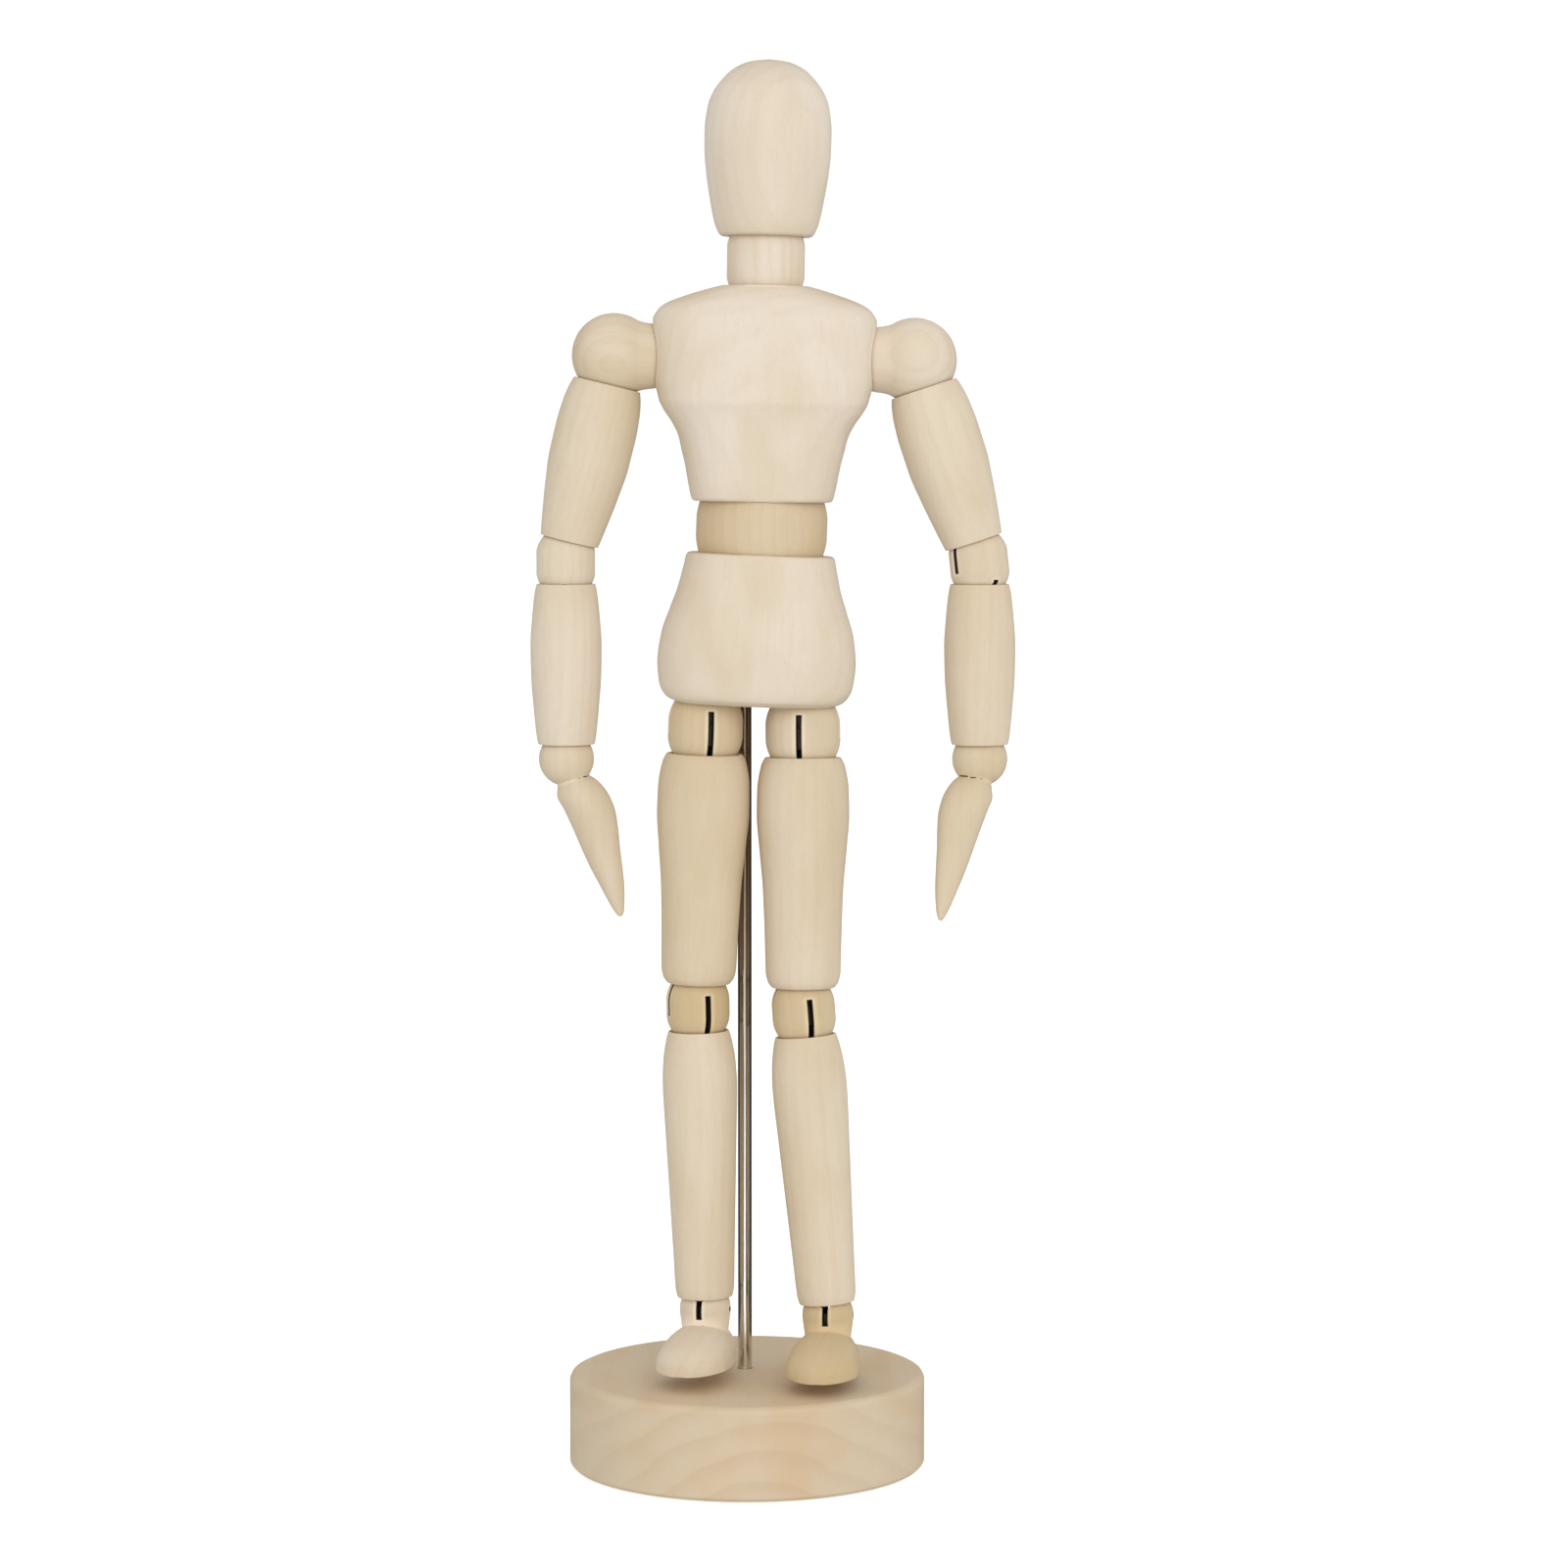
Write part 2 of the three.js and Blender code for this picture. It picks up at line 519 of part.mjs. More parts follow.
// A long piece with its spring
function addLong(group, name, piece, topEnd, bottomEnd) {
  add(group, name, longGeometry(piece), 'cream');
  add(group, `${name}_spring`, longSpring(piece, topEnd, bottomEnd), 'steel');
}

// A wrist or ankle ball's slot opens upward, and its pin lies along X.
function hingedBall(body, dome, swing) {
  return cut(
    body,
    fan(HINGE_SLOT, swing).rotateX(Math.PI),
    bore(PIN.radius + GAP, -PIN.reach * dome - GAP, dome + 2, 'x'),
  );
}

function handGeometry(way) {
  const sections = HAND_SECTIONS.map(([z, half, front, back, inward]) => (
    [z, half, front, back, -way * inward]));
  const body = join(sphere(WRIST.dome), carved(sections, 1.8));
  return geometryOf(hingedBall(body, WRIST.dome, WRIST_SWING));
}

function footGeometry() {
  const { dome } = ANKLE;
  const ankle = turned([[0, -8.5], [4.5, -8.5], [5, -4.5], [dome, -0.6], ...arc(0, dome, 90, 0, 5)]);
  const blade = carved(FOOT_SECTIONS, 2.2, SIDES, 5).rotateX(Math.PI / 2).translate(0, 0, FOOT_LINE);
  const slots = notches(dome, ANKLE_NOTCH).map((piece) => piece.rotateX(Math.PI));
  return geometryOf(cut(hingedBall(join(ankle, blade), dome, SWING), ...slots));
}

function addArm(chest, side, pose) {
  const { way } = pose;
  const shoulder = place(chest, way * SHOULDER.spread, 0, SHOULDER.height);
  add(shoulder, `${side}_shoulder_ball`, shoulderGeometry(way), 'honey');
  add(shoulder, `${side}_shoulder_pin`, pinGeometry(SHOULDER.dome, 'y'), 'steel');

  const upperArm = place(shoulder, 0, 0, 0, -way * pose.arm - LEAN.chest);
  const shoulderEnd = { axis: 'y', shift: -SHOULDER.eyeShift };
  addLong(upperArm, `${side}_upper_arm`, UPPER_ARM, shoulderEnd, { axis: 'y', turn: pose.elbowTurn });

  const elbowAt = [0, 0, -reach(UPPER_ARM)];
  const down = pointing(way, pose.forearm);
  const forearm = addBall(upperArm, `${side}_elbow`, ELBOW_BALL, elbowAt, pose.elbowTurn, down);
  const forearmTop = { axis: 'x', turn: pose.elbowTurn };
  addLong(forearm, `${side}_forearm`, FOREARM, forearmTop, { axis: 'x', turn: pose.handTurn });

  const hand = place(forearm, 0, 0, -reach(FOREARM), 0, pose.handTurn);
  add(hand, `${side}_hand`, handGeometry(way), 'cream');
  add(hand, `${side}_wrist_pin`, pinGeometry(WRIST.dome, 'x'), 'steel');
}

function addHipSpring(pelvis, side, { way, hipTurn }) {
  const ballPin = -THIGH.topPin;
  const low = { z: ballPin, coil: ballPin + HIP_BALL.dome + COIL_CLEAR, axis: 'y', turn: hipTurn };
  const high = { z: PELVIS.pinHeight, coil: PELVIS.pinHeight - EYE.outer - COIL_CLEAR, axis: 'x' };
  const spring = springGeometry(low, high).translate(way * PELVIS.hipSpread, 0, 0);
  add(pelvis, `${side}_hip_spring`, spring, 'steel');
}

function addLeg(pelvis, side, pose) {
  const { way } = pose;
  addHipSpring(pelvis, side, pose);
  const hipAt = [way * PELVIS.hipSpread, 0, -THIGH.topPin];
  const thighAim = pointing(way, pose.thigh, pose.swing);
  const thigh = addBall(pelvis, `${side}_hip`, HIP_BALL, hipAt, pose.hipTurn, thighAim);
  const thighTop = { axis: 'x', turn: pose.hipTurn };
  addLong(thigh, `${side}_thigh`, THIGH, thighTop, { axis: 'y', turn: pose.kneeTurn });

  const kneeAt = [0, 0, -reach(THIGH)];
  const shinAim = pointing(way, pose.shin, pose.swing);
  const shin = addBall(thigh, `${side}_knee`, KNEE_BALL, kneeAt, pose.kneeTurn, shinAim);
  const shinTop = { axis: 'x', turn: pose.kneeTurn };
  addLong(shin, `${side}_shin`, SHIN, shinTop, { axis: 'x', turn: pose.footTurn });

  const foot = place(shin, 0, 0, -reach(SHIN));
  const upright = shin.getWorldQuaternion(new THREE.Quaternion()).invert();
  const turn = new THREE.Quaternion().setFromAxisAngle(new THREE.Vector3(0, 0, 1), pose.footTurn * DEG);
  foot.quaternion.copy(upright.multiply(turn));
  add(foot, `${side}_foot`, footGeometry(), 'cream');
  add(foot, `${side}_ankle_pin`, pinGeometry(ANKLE.dome, 'x'), 'steel');
}

const mannequin = new THREE.Group();
addStand(mannequin);
const trunk = addTrunk(mannequin);
mannequin.updateMatrixWorld(true);
addTrunkSprings(mannequin, trunk);
for (const [side, pose] of Object.entries(POSE)) {
  addArm(trunk.chest, side, pose);
  addLeg(trunk.pelvis, side, pose);
}

export default mannequin;
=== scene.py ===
import json
import math
import random

import bmesh
import bpy
import numpy as np
from mathutils import bvhtree, kdtree, Matrix, Vector


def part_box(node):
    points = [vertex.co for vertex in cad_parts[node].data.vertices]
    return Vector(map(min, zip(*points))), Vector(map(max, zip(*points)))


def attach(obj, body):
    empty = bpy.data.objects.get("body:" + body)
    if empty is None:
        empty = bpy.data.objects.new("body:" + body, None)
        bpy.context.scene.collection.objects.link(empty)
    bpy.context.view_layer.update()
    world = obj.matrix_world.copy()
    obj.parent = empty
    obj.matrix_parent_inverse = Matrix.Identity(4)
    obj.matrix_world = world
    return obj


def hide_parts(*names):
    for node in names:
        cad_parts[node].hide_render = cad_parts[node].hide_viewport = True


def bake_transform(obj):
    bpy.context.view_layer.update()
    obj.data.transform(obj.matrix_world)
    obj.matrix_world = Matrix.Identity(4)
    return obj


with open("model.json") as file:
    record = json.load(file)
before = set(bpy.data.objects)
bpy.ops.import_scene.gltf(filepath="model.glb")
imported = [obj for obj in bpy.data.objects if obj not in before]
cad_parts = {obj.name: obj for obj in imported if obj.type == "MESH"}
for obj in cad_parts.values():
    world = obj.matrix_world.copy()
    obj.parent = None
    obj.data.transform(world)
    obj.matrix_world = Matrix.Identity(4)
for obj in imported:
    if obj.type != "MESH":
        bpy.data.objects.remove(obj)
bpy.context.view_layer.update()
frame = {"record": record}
JOINTS = {joint["name"]: joint for joint in frame["record"]["behaviour"]["joints"]}
BODY_OF = {
    node: body
    for body, nodes in frame["record"]["behaviour"]["bodies"].items()
    for node in nodes
}
SLOT_OF = {part["node"]: part["material_slot"] for part in frame["record"]["subparts"]}

MM = 0.001
FAR = 1e9
SIDES = 96
SHARP_ANGLE = math.radians(32)

# ---- Dimensions of the pieces, in millimetres, as in the CAD ----
BASE_EDGE = 1.4
ROD_HOLE_DEPTH = 12.0
ROD_CLEAR = 0.12
# Between a dome and its socket
GAP = 0.35
# What rounds the sharp corners of turned pieces
EASE = 0.22

# `reach` is half a pin's length, as a share of its ball's radius
PIN = {"radius": 0.5, "hole": 0.58, "reach": 0.6}
# A spring hooks over its pin with an eye, and over another spring with a wider saddle
WIRE = 0.5
EYE_RADIUS = 1.08
EYE_ROOM = 1.25
EYE_START = -138.0
EYE_SWEEP = 283.0
SADDLE_RADIUS = 2.45
SADDLE_ROOM = 2.75
SADDLE_SHIFT = 0.7
COIL_RADIUS = 1.35
COIL_CLEAR = 1.2
BORE = 2.15
TRUNK_BORE = 2.9
CROSS_BORE = 3.2

# Slots in the balls. Swings are angles in degrees.
SLOT = 1.2
HINGE_SLOT = 1.9
LIP_DEPTH = 0.28
PIN_OFFSET = 1.4
NOTCH_DEPTH = 3.4
SWING = 58.0
WRIST_SWING = 50.0
ANKLE_NOTCH = 1.7

# Hinge balls. `lower` and `upper` are the heights where the notches of the lower and upper slots
# end, or None where a slot has no notch.
BALLS = {
    "hip": {"dome": 8.0, "side": 8.0, "lower": 4.0, "upper": -1.5, "swing": SWING},
    "knee": {"dome": 6.78, "side": 6.78, "lower": 3.1, "upper": -1.5, "swing": SWING},
    "elbow": {"dome": 6.35, "side": 6.25, "lower": None, "upper": -2.4, "swing": 54.0},
}
SHOULDER = {"dome": 9.0, "slot": 2.3, "inner": 12.1, "fans": (20, 70), "angle": 40, "shift": 0.55}
WRIST_DOME = 5.9
ANKLE_DOME = 5.5
# Long pieces: the dome and the pin's distance at each end, and (share of the length, radius)
LONG = {
    "upper_arm": {
        "length": 34.2, "top": (SHOULDER["dome"], 6.3), "bottom": (BALLS["elbow"]["dome"], 3.2),
        "outline": [(0, 7.2), (0.05, 7.75), (0.15, 8.35), (0.3, 8.65), (0.48, 8.6),
                    (0.66, 8.0), (0.84, 7.15), (0.96, 6.5), (1, 6.25)],
    },
    "forearm": {
        "length": 34.2, "top": (BALLS["elbow"]["dome"], 3.2), "bottom": (WRIST_DOME, 3.1),
        "outline": [(0, 6.25), (0.05, 6.65), (0.2, 7.2), (0.38, 7.6),
                    (0.56, 7.5), (0.78, 6.95), (0.96, 6.3), (1, 6.0)],
    },
    "thigh": {
        "length": 49.3, "top": (BALLS["hip"]["dome"], 4.05), "bottom": (BALLS["knee"]["dome"], 3.75),
        "outline": [(0, 8.1), (0.03, 8.9), (0.14, 9.8), (0.25, 9.9), (0.4, 9.35),
                    (0.58, 8.6), (0.8, 8.2), (0.93, 8.05), (0.975, 7.6), (1, 6.7)],
    },
    "shin": {
        "length": 57.7, "top": (BALLS["knee"]["dome"], 3.75), "bottom": (ANKLE_DOME, 2.6),
        "outline": [(0, 6.5), (0.03, 7.0), (0.11, 7.75), (0.19, 8.0), (0.4, 7.6),
                    (0.62, 7.1), (0.84, 6.6), (0.97, 6.3), (1, 5.9)],
    },
}
WAIST = {"dome": 14.0, "half": 1.05, "side": 13.95, "beyond": 4.55}
NECK = {"dome": 8.35, "half": 2.1, "side": 8.25, "beyond": 3.15}
PELVIS = {"height": 32.1, "spread": 10.4, "pin": 12.5, "reach": 13.0}
CHEST = {"height": 45.5, "spread": 31.9, "shoulder": 30.4}
HEAD = {"pin": 12.0, "reach": 6.0}

# Carved pieces, from the bottom up: height, half width, front depth and back depth of each section
CHEST_SECTIONS = [
    (0, 0, 0, 0), (0, 14.4, 13.4, 13.5), (0.25, 14.9, 13.9, 14.0), (0.8, 15.15, 14.2, 14.2),
    (3, 15.65, 14.7, 14.3), (8.2, 16.65, 15.15, 14.35), (10.7, 17.3, 15.4, 14.4),
    (13.6, 18.0, 15.7, 14.6), (16.5, 19.4, 16.0, 14.8), (18.8, 21.0, 16.45, 15.05),
    (20, 21.7, 16.85, 15.15), (20.8, 22.1, 17.0, 15.2), (21.6, 22.35, 16.95, 15.25),
    (22.8, 22.65, 16.75, 15.3), (25, 23.2, 16.45, 15.4), (31, 23.6, 15.4, 15.2),
    (36, 23.8, 14.5, 14.4), (38.4, 23.75, 13.9, 13.9), (39.6, 23.2, 13.4, 13.5),
    (40.65, 22.4, 12.8, 13.0), (41.7, 20.9, 12.2, 12.4), (42.7, 18.6, 11.5, 11.8),
    (43.8, 15.4, 10.6, 10.9), (44.6, 12.8, 9.9, 10.2), (45.2, 10.6, 9.3, 9.5),
    (45.5, 9.3, 8.9, 9.0), (45.5, 0, 0, 0),
]
PELVIS_SECTIONS = [
    (0, 0, 0, 0), (0, 15.4, 10.2, 10.3), (0.3, 17.0, 11.3, 11.4), (1, 18.7, 12.6, 12.6),
    (2.3, 19.9, 13.4, 13.3), (4, 20.65, 14.0, 13.8), (9, 21.2, 15.0, 14.6), (15, 20.5, 15.4, 14.8),
    (20, 18.95, 15.3, 14.8), (25, 17.3, 14.9, 14.6), (29.8, 16.2, 14.5, 14.4),
    (31.5, 15.85, 14.3, 14.3), (31.95, 15.5, 14.0, 14.0), (32.1, 15.1, 13.6, 13.6), (32.1, 0, 0, 0),
]
HEAD_SECTIONS = [
    (0, 0, 0, 0), (0, 9.4, 9.4, 9.6), (0.2, 9.8, 9.8, 10.1), (0.6, 10.15, 10.2, 10.6),
    (2.9, 11.1, 11.3, 12.0), (8, 12.15, 12.8, 13.8), (13, 12.95, 13.7, 14.9), (18, 13.4, 14.0, 15.6),
    (22, 13.45, 13.8, 15.5), (27.2, 12.85, 13.0, 14.7), (30.2, 11.75, 11.8, 13.3),
    (32.7, 10, 10, 11.2), (35.1, 7.5, 7.3, 8.3), (36.6, 4.2, 4.1, 4.6), (37.2, 0, 0, 0),
]
# Hand blade, from the tip up. The fifth number is how far the section lies towards the body.
HAND_SECTIONS = [
    (-34, 0, 0, 0, 11.4), (-33.7, 0.5, 0.45, 0.45, 11.35), (-32.8, 1.05, 0.9, 0.9, 11.15),
    (-31.5, 1.5, 1.4, 1.4, 10.8), (-27.4, 2.6, 2.4, 2.4, 9.7), (-23.2, 3.5, 3.2, 3.2, 8.4),
    (-19, 4.2, 3.9, 3.9, 7.2), (-14.8, 4.9, 4.7, 4.7, 6.1), (-10.7, 5.5, 5.4, 5.4, 4.8),
    (-8.6, 5.7, 5.5, 5.5, 3.8), (-6.4, 5.1, 5.0, 5.0, 3.1), (-4, 3.6, 3.6, 3.6, 2.1),
    (-2.4, 0, 0, 0, 1.2),
]
# Foot, from the heel to the toe: distance forward, half width, depth of the sole and height of the
# instep, below and above a line under the ankle pin
FOOT_SECTIONS = [
    (-8.3, 0, 0.2, 0.8), (-8.1, 1.6, 0.7, 2.5), (-7.6, 3.0, 0.85, 3.9), (-6.2, 4.7, 0.9, 5.7),
    (-2.5, 6.25, 0.9, 7.3), (2.5, 7.25, 0.9, 7.9), (7, 7.8, 0.9, 7.5), (11, 7.7, 0.9, 6.5),
    (14.5, 6.75, 0.9, 5.3), (17.2, 5.1, 0.9, 3.9), (18.9, 3.2, 0.85, 2.6), (19.6, 1.6, 0.75, 1.6),
    (19.8, 0, 0.4, 0.8),
]
FOOT_LINE = -10.55


# ---- Meshes ----
def face_outward(mesh, largest_hole=0):
    """Turns all faces outward, after closing holes of up to that many sides."""
    work = bmesh.new()
    work.from_mesh(mesh)
    if largest_hole:
        bmesh.ops.holes_fill(work, edges=work.edges, sides=largest_hole)
    bmesh.ops.recalc_face_normals(work, faces=work.faces)
    work.to_mesh(mesh)
    work.free()


def new_piece(name, vertices, faces):
    mesh = bpy.data.meshes.new(name)
    mesh.from_pydata([tuple(v) for v in vertices], [], faces)
    piece = bpy.data.objects.new(name, mesh)
    bpy.context.scene.collection.objects.link(piece)
    face_outward(mesh)
    return piece


def loft(name, rings, wrap=False):
    """Faces between rings of points, where a ring of one point is a pole."""
    vertices, starts, faces = [], [], []
    for ring in rings:
        starts.append(len(vertices))
        vertices.extend(ring)
    pairs = [(i, i + 1) for i in range(len(rings) - 1)]
    if wrap:
        pairs.append((len(rings) - 1, 0))
    sides = max(len(ring) for ring in rings)
    for a, b in pairs:
        for i in range(sides):
            j = (i + 1) % sides
            corners = [starts[a] + i % len(rings[a]), starts[a] + j % len(rings[a]),
                       starts[b] + j % len(rings[b]), starts[b] + i % len(rings[b])]
            kept = list(dict.fromkeys(corners))
            if len(kept) > 2:
                faces.append(kept)
    return new_piece(name, vertices, faces)


def turned(name, profile, sides=SIDES, wrap=False):
    """A piece turned about Z. Points are (radius, height)."""
    angles = np.linspace(0, 2 * math.pi, sides, endpoint=False)
    rings = []
    for radius, height in profile:
        if radius < 1e-6:
            rings.append([(0.0, 0.0, height)])
        else:
            rings.append([(radius * math.cos(a), radius * math.sin(a), height) for a in angles])
    return loft(name, rings, wrap)


def resampled(rows, count):
    """Rows made denser along their own path, with a monotone cubic in each column."""
    rows = np.array([tuple(row) for row in rows], float)
    steps = np.maximum(np.linalg.norm(np.diff(rows[:, :2], axis=0), axis=1), 1e-3)
    at = np.concatenate([[0], np.cumsum(steps)])
    secants = np.diff(rows, axis=0) / steps[:, None]
    slopes = np.zeros_like(rows)
    before, after = secants[:-1], secants[1:]
    same = before * after > 0
    weights = np.where(same, before + after, 1.0)
    slopes[1:-1] = np.where(same, 2 * before * after / np.where(weights == 0, 1.0, weights), 0)
    slopes[0], slopes[-1] = secants[0], secants[-1]
    wanted = np.unique(np.concatenate([np.linspace(0, at[-1], count), at]))
    index = np.clip(np.searchsorted(at, wanted, side="right") - 1, 0, len(steps) - 1)
    h = steps[index][:, None]
    t = ((wanted - at[index]) / steps[index])[:, None]
    return (
        (2 * t**3 - 3 * t**2 + 1) * rows[index] + (t**3 - 2 * t**2 + t) * h * slopes[index]
        + (3 * t**2 - 2 * t**3) * rows[index + 1] + (t**3 - t**2) * h * slopes[index + 1]
    )


def eased(profile, radius, closed=False):
    """Rounds every sharp corner of a profile."""
    points = [Vector(p) for p in profile]
    count = len(points)
    out = []
    for i, point in enumerate(points):
        if not closed and i in (0, count - 1):
            out.append(tuple(point))
            continue
        back, on = points[i - 1] - point, points[(i + 1) % count] - point
        if min(back.length, on.length) < 1e-6:
            continue
        turn = math.pi - back.angle(on)
        if turn < 0.4:
            out.append(tuple(point))
            continue
        reach = min(radius * math.tan(turn / 2), back.length * 0.45, on.length * 0.45)
        start, end = point + back.normalized() * reach, point + on.normalized() * reach
        for t in (0, 0.25, 0.5, 0.75, 1):
            out.append(tuple(start * (1 - t) ** 2 + point * 2 * t * (1 - t) + end * t * t))
    return out


def arc(centre, radius, start, end, steps):
    """Points (radius, height) round (0, centre). Angles are in degrees from straight up."""
    angles = [math.radians(start + (end - start) * i / steps) for i in range(steps + 1)]
    return [(radius * math.sin(a), centre + radius * math.cos(a)) for a in angles]


def oval(half, front, back, power, lower_power, angle):
    """A point of a section whose front or lower half can be squarer than the other."""
    c, s = math.cos(angle), math.sin(angle)
    p = 2 / (lower_power if s < 0 else power)
    x = half * math.copysign(abs(c) ** p, c)
    y = (front if s < 0 else back) * math.copysign(abs(s) ** p, s)
    return x, y


def carved(name, sections, power, count=90, lower_power=None, sides=SIDES):
    """A piece carved from a stack of sections. Power 2 is an ellipse, and a higher one is squarer."""
    angles = np.linspace(0, 2 * math.pi, sides, endpoint=False)
    rings = []
    for row in resampled(sections, count):
        z, half, front, back = row[:4]
        shift = row[4] if len(row) > 4 else 0.0
        if half < 0.02:
            rings.append([(shift, (back - front) / 2, z)])
            continue
        ring = [oval(half, front, back, power, lower_power or power, a) for a in angles]
        rings.append([(shift + x, y, z) for x, y in ring])
    return loft(name, rings)


def prism(name, corners, width):
    """A slab in the YZ plane, `width` thick along X, from corners (y, z)."""
    vertices = [(x, y, z) for x in (-width / 2, width / 2) for y, z in corners]
    n = len(corners)
    faces = [[i, (i + 1) % n, n + (i + 1) % n, n + i] for i in range(n)]
    faces += [list(range(n)), list(range(n, 2 * n))]
    return new_piece(name, vertices, faces)


def transformed(piece, matrix):
    piece.data.transform(matrix)
    return piece


def spin(degrees, axis):
    return Matrix.Rotation(math.radians(degrees), 4, axis)


def shift(x, y, z):
    return Matrix.Translation((x, y, z))


def bar(radius, start, end, axis, at=(0, 0, 0), sides=32):
    """A plain bar between two positions on its axis, for cutting holes."""
    piece = turned("bar", [(0, start), (radius, start), (radius, end), (0, end)], sides)
    turn = {"x": spin(90, "Y"), "y": spin(-90, "X"), "z": Matrix.Identity(4)}[axis]
    return transformed(piece, shift(*at) @ turn)


def ball(radius, z=0.0):
    return turned("ball", arc(z, radius, 180, 0, 48))


def combine(piece, others, operation):
    for other in others:
        modifier = piece.modifiers.new(operation, "BOOLEAN")
        modifier.operation = operation
        modifier.object = other
        modifier.solver = "MANIFOLD"
    bpy.context.view_layer.update()
    graph = bpy.context.evaluated_depsgraph_get()
    mesh = bpy.data.meshes.new_from_object(piece.evaluated_get(graph))
    piece.modifiers.clear()
    piece.data = mesh
    for other in others:
        bpy.data.objects.remove(other)
    return piece


def cut(piece, *tools):
    return combine(piece, tools, "DIFFERENCE")


def join(piece, *others):
    return combine(piece, others, "UNION")


# ---- Features of the joints ----
def fan(width, angle):
    """Slot for a spring's eye, in the YZ plane. It opens downward from a pin at the origin."""
    side = EYE_ROOM + GAP
    far = 20.0
    dy, dz = far * math.sin(math.radians(angle)), -far * math.cos(math.radians(angle))
    corners = [(-side, side), (-side, 0), (-dy, dz), (dy, dz), (side, 0), (side, side)]
    return prism("fan", corners, width)


def side_of(dome, offset, height):
    """The side of a ball from its foot up to a height, as (out, up) points with their normals"""
    points = []
    for a in np.linspace(0, math.pi / 2, 25):
        z = -offset - dome * math.cos(a)
        if z <= height:
            points.append((dome * math.sin(a), z, math.sin(a), -math.cos(a)))
    if height > -offset:
        points.append((dome, min(height, offset), 1, 0))
    if height > offset:
        for b in np.linspace(0, math.asin((height - offset) / dome), 9)[1:]:
            points.append((dome * math.cos(b), offset + dome * math.sin(b), math.cos(b), math.sin(b)))
    return points


def lip(dome, offset, width, height):
    """A shallow V that eases the edges of a slot, under a ball and up both its sides to a height"""
    half, above = width / 2, 0.6
    wide = half + LIP_DEPTH + above
    profile = [(-half, -LIP_DEPTH), (-wide, above), (wide, above), (half, -LIP_DEPTH)]
    side = side_of(dome, offset, height)
    path = [(-y, z, -ny, nz) for y, z, ny, nz in side[::-1]] + side[1:]
    rings = [[(x, y + ny * d, z + nz * d) for x, d in profile] for y, z, ny, nz in path]
    piece = loft("lip", rings)
    face_outward(piece.data, largest_hole=8)
    return piece


def notches(side, height):
    """Saw cuts on both sides of a ball, in the YZ plane, from below up to a height."""
    tools = []
    for way in (-1, 1):
        near, far = way * (side - NOTCH_DEPTH), way * (side + 2)
        corners = [(near, -2 * side), (near, height), (far, height), (far, -2 * side)]
        tools.append(prism("notch", corners, SLOT))
    return tools


def turn_over(piece):
    return transformed(piece, spin(90, "Z") @ spin(180, "X"))


def swing_height(dome, offset, swing):
    """How high up a ball's side a slot reaches that lets a spring swing that far"""
    return -offset - dome * math.cos(math.radians(swing))


def hinge_ball(name, dome, side, lower, upper, swing):
    """A ball with a lower pin along X and an upper pin along Y. Its middle is the origin."""
    top = math.degrees(math.asin(side / dome))
    profile = arc(-PIN_OFFSET, dome, 180, 180 - top, 30) + arc(PIN_OFFSET, dome, top, 0, 30)
    sunk = -PIN["reach"] * side
    swung = swing_height(dome, PIN_OFFSET, swing)
    tools = [
        transformed(fan(SLOT, swing), shift(0, 0, -PIN_OFFSET)),
        transformed(turn_over(fan(SLOT, swing)), shift(0, 0, PIN_OFFSET)),
        lip(dome, PIN_OFFSET, SLOT, swung if lower is None else lower),
        turn_over(lip(dome, PIN_OFFSET, SLOT, swung if upper is None else -upper)),
        bar(PIN["hole"], sunk, side + 2, "y", (0, 0, PIN_OFFSET)),
        bar(PIN["hole"], sunk, side + 2, "x", (0, 0, -PIN_OFFSET)),
    ]
    if lower is not None:
        tools += notches(side, lower)
    if upper is not None:
        tools += [turn_over(notch) for notch in notches(side, -upper)]
    return cut(turned(name, eased(profile, EASE)), *tools)


def long_piece(name, length, top, bottom, outline):
    """A long piece below the pin above it, which is the origin."""
    (top_dome, top_pin), (bottom_dome, bottom_pin) = top, bottom
    reach = top_pin + length + bottom_pin
    high, low = top_dome + GAP, bottom_dome + GAP
    rows = resampled([(-top_pin - t * length, r) for t, r in outline], 60)
    outside = [(r, z) for z, r in rows][::-1]

    def edge(radius, height):
        return math.degrees(math.acos(height / radius))

    def hole(radius):
        return math.degrees(math.asin(BORE / radius))

    upper = arc(0, high, 180 - edge(high, top_pin), 180 - hole(high), 10)
    lower = arc(-reach, low, hole(low), edge(low, bottom_pin), 10)
    return turned(name, eased(outside + upper + lower, EASE, closed=True), wrap=True)


def barrel(name, shape):
    """A barrel with a dome at each end, bored through for its spring."""
    dome, half = shape["dome"], shape["half"]
    wide = math.degrees(math.asin(shape["side"] / dome))
    hole = math.degrees(math.asin(TRUNK_BORE / dome))
    lower = arc(-half, dome, 180 - hole, 180 - wide, 30)
    upper = arc(half, dome, wide, hole, 30)
    return turned(name, eased(lower + upper, EASE, closed=True), wrap=True)


def shoulder_profile(grow=0.0):
    outer = arc(0, SHOULDER["dome"] + grow, 180, 60, 40)
    inner = [(7.4, 5.35), (7.13, 6.4), (6.98, 7.4), (6.85, 8.5), (6.2, 9.8), (4.6, 11.1), (2.6, 11.8)]
    rows = [(z + grow * 0.5, r + grow) for r, z in inner] + [(SHOULDER["inner"] + grow, 0)]
    start = (outer[-1][1], outer[-1][0])
    return outer[:-1] + [(r, z) for z, r in resampled([start, *rows], 24)]


def lying(piece, way):
    """Lays a piece made along Z on its side, with its +Z to the side that `way` gives."""
    return transformed(piece, spin(way * 90, "Y"))


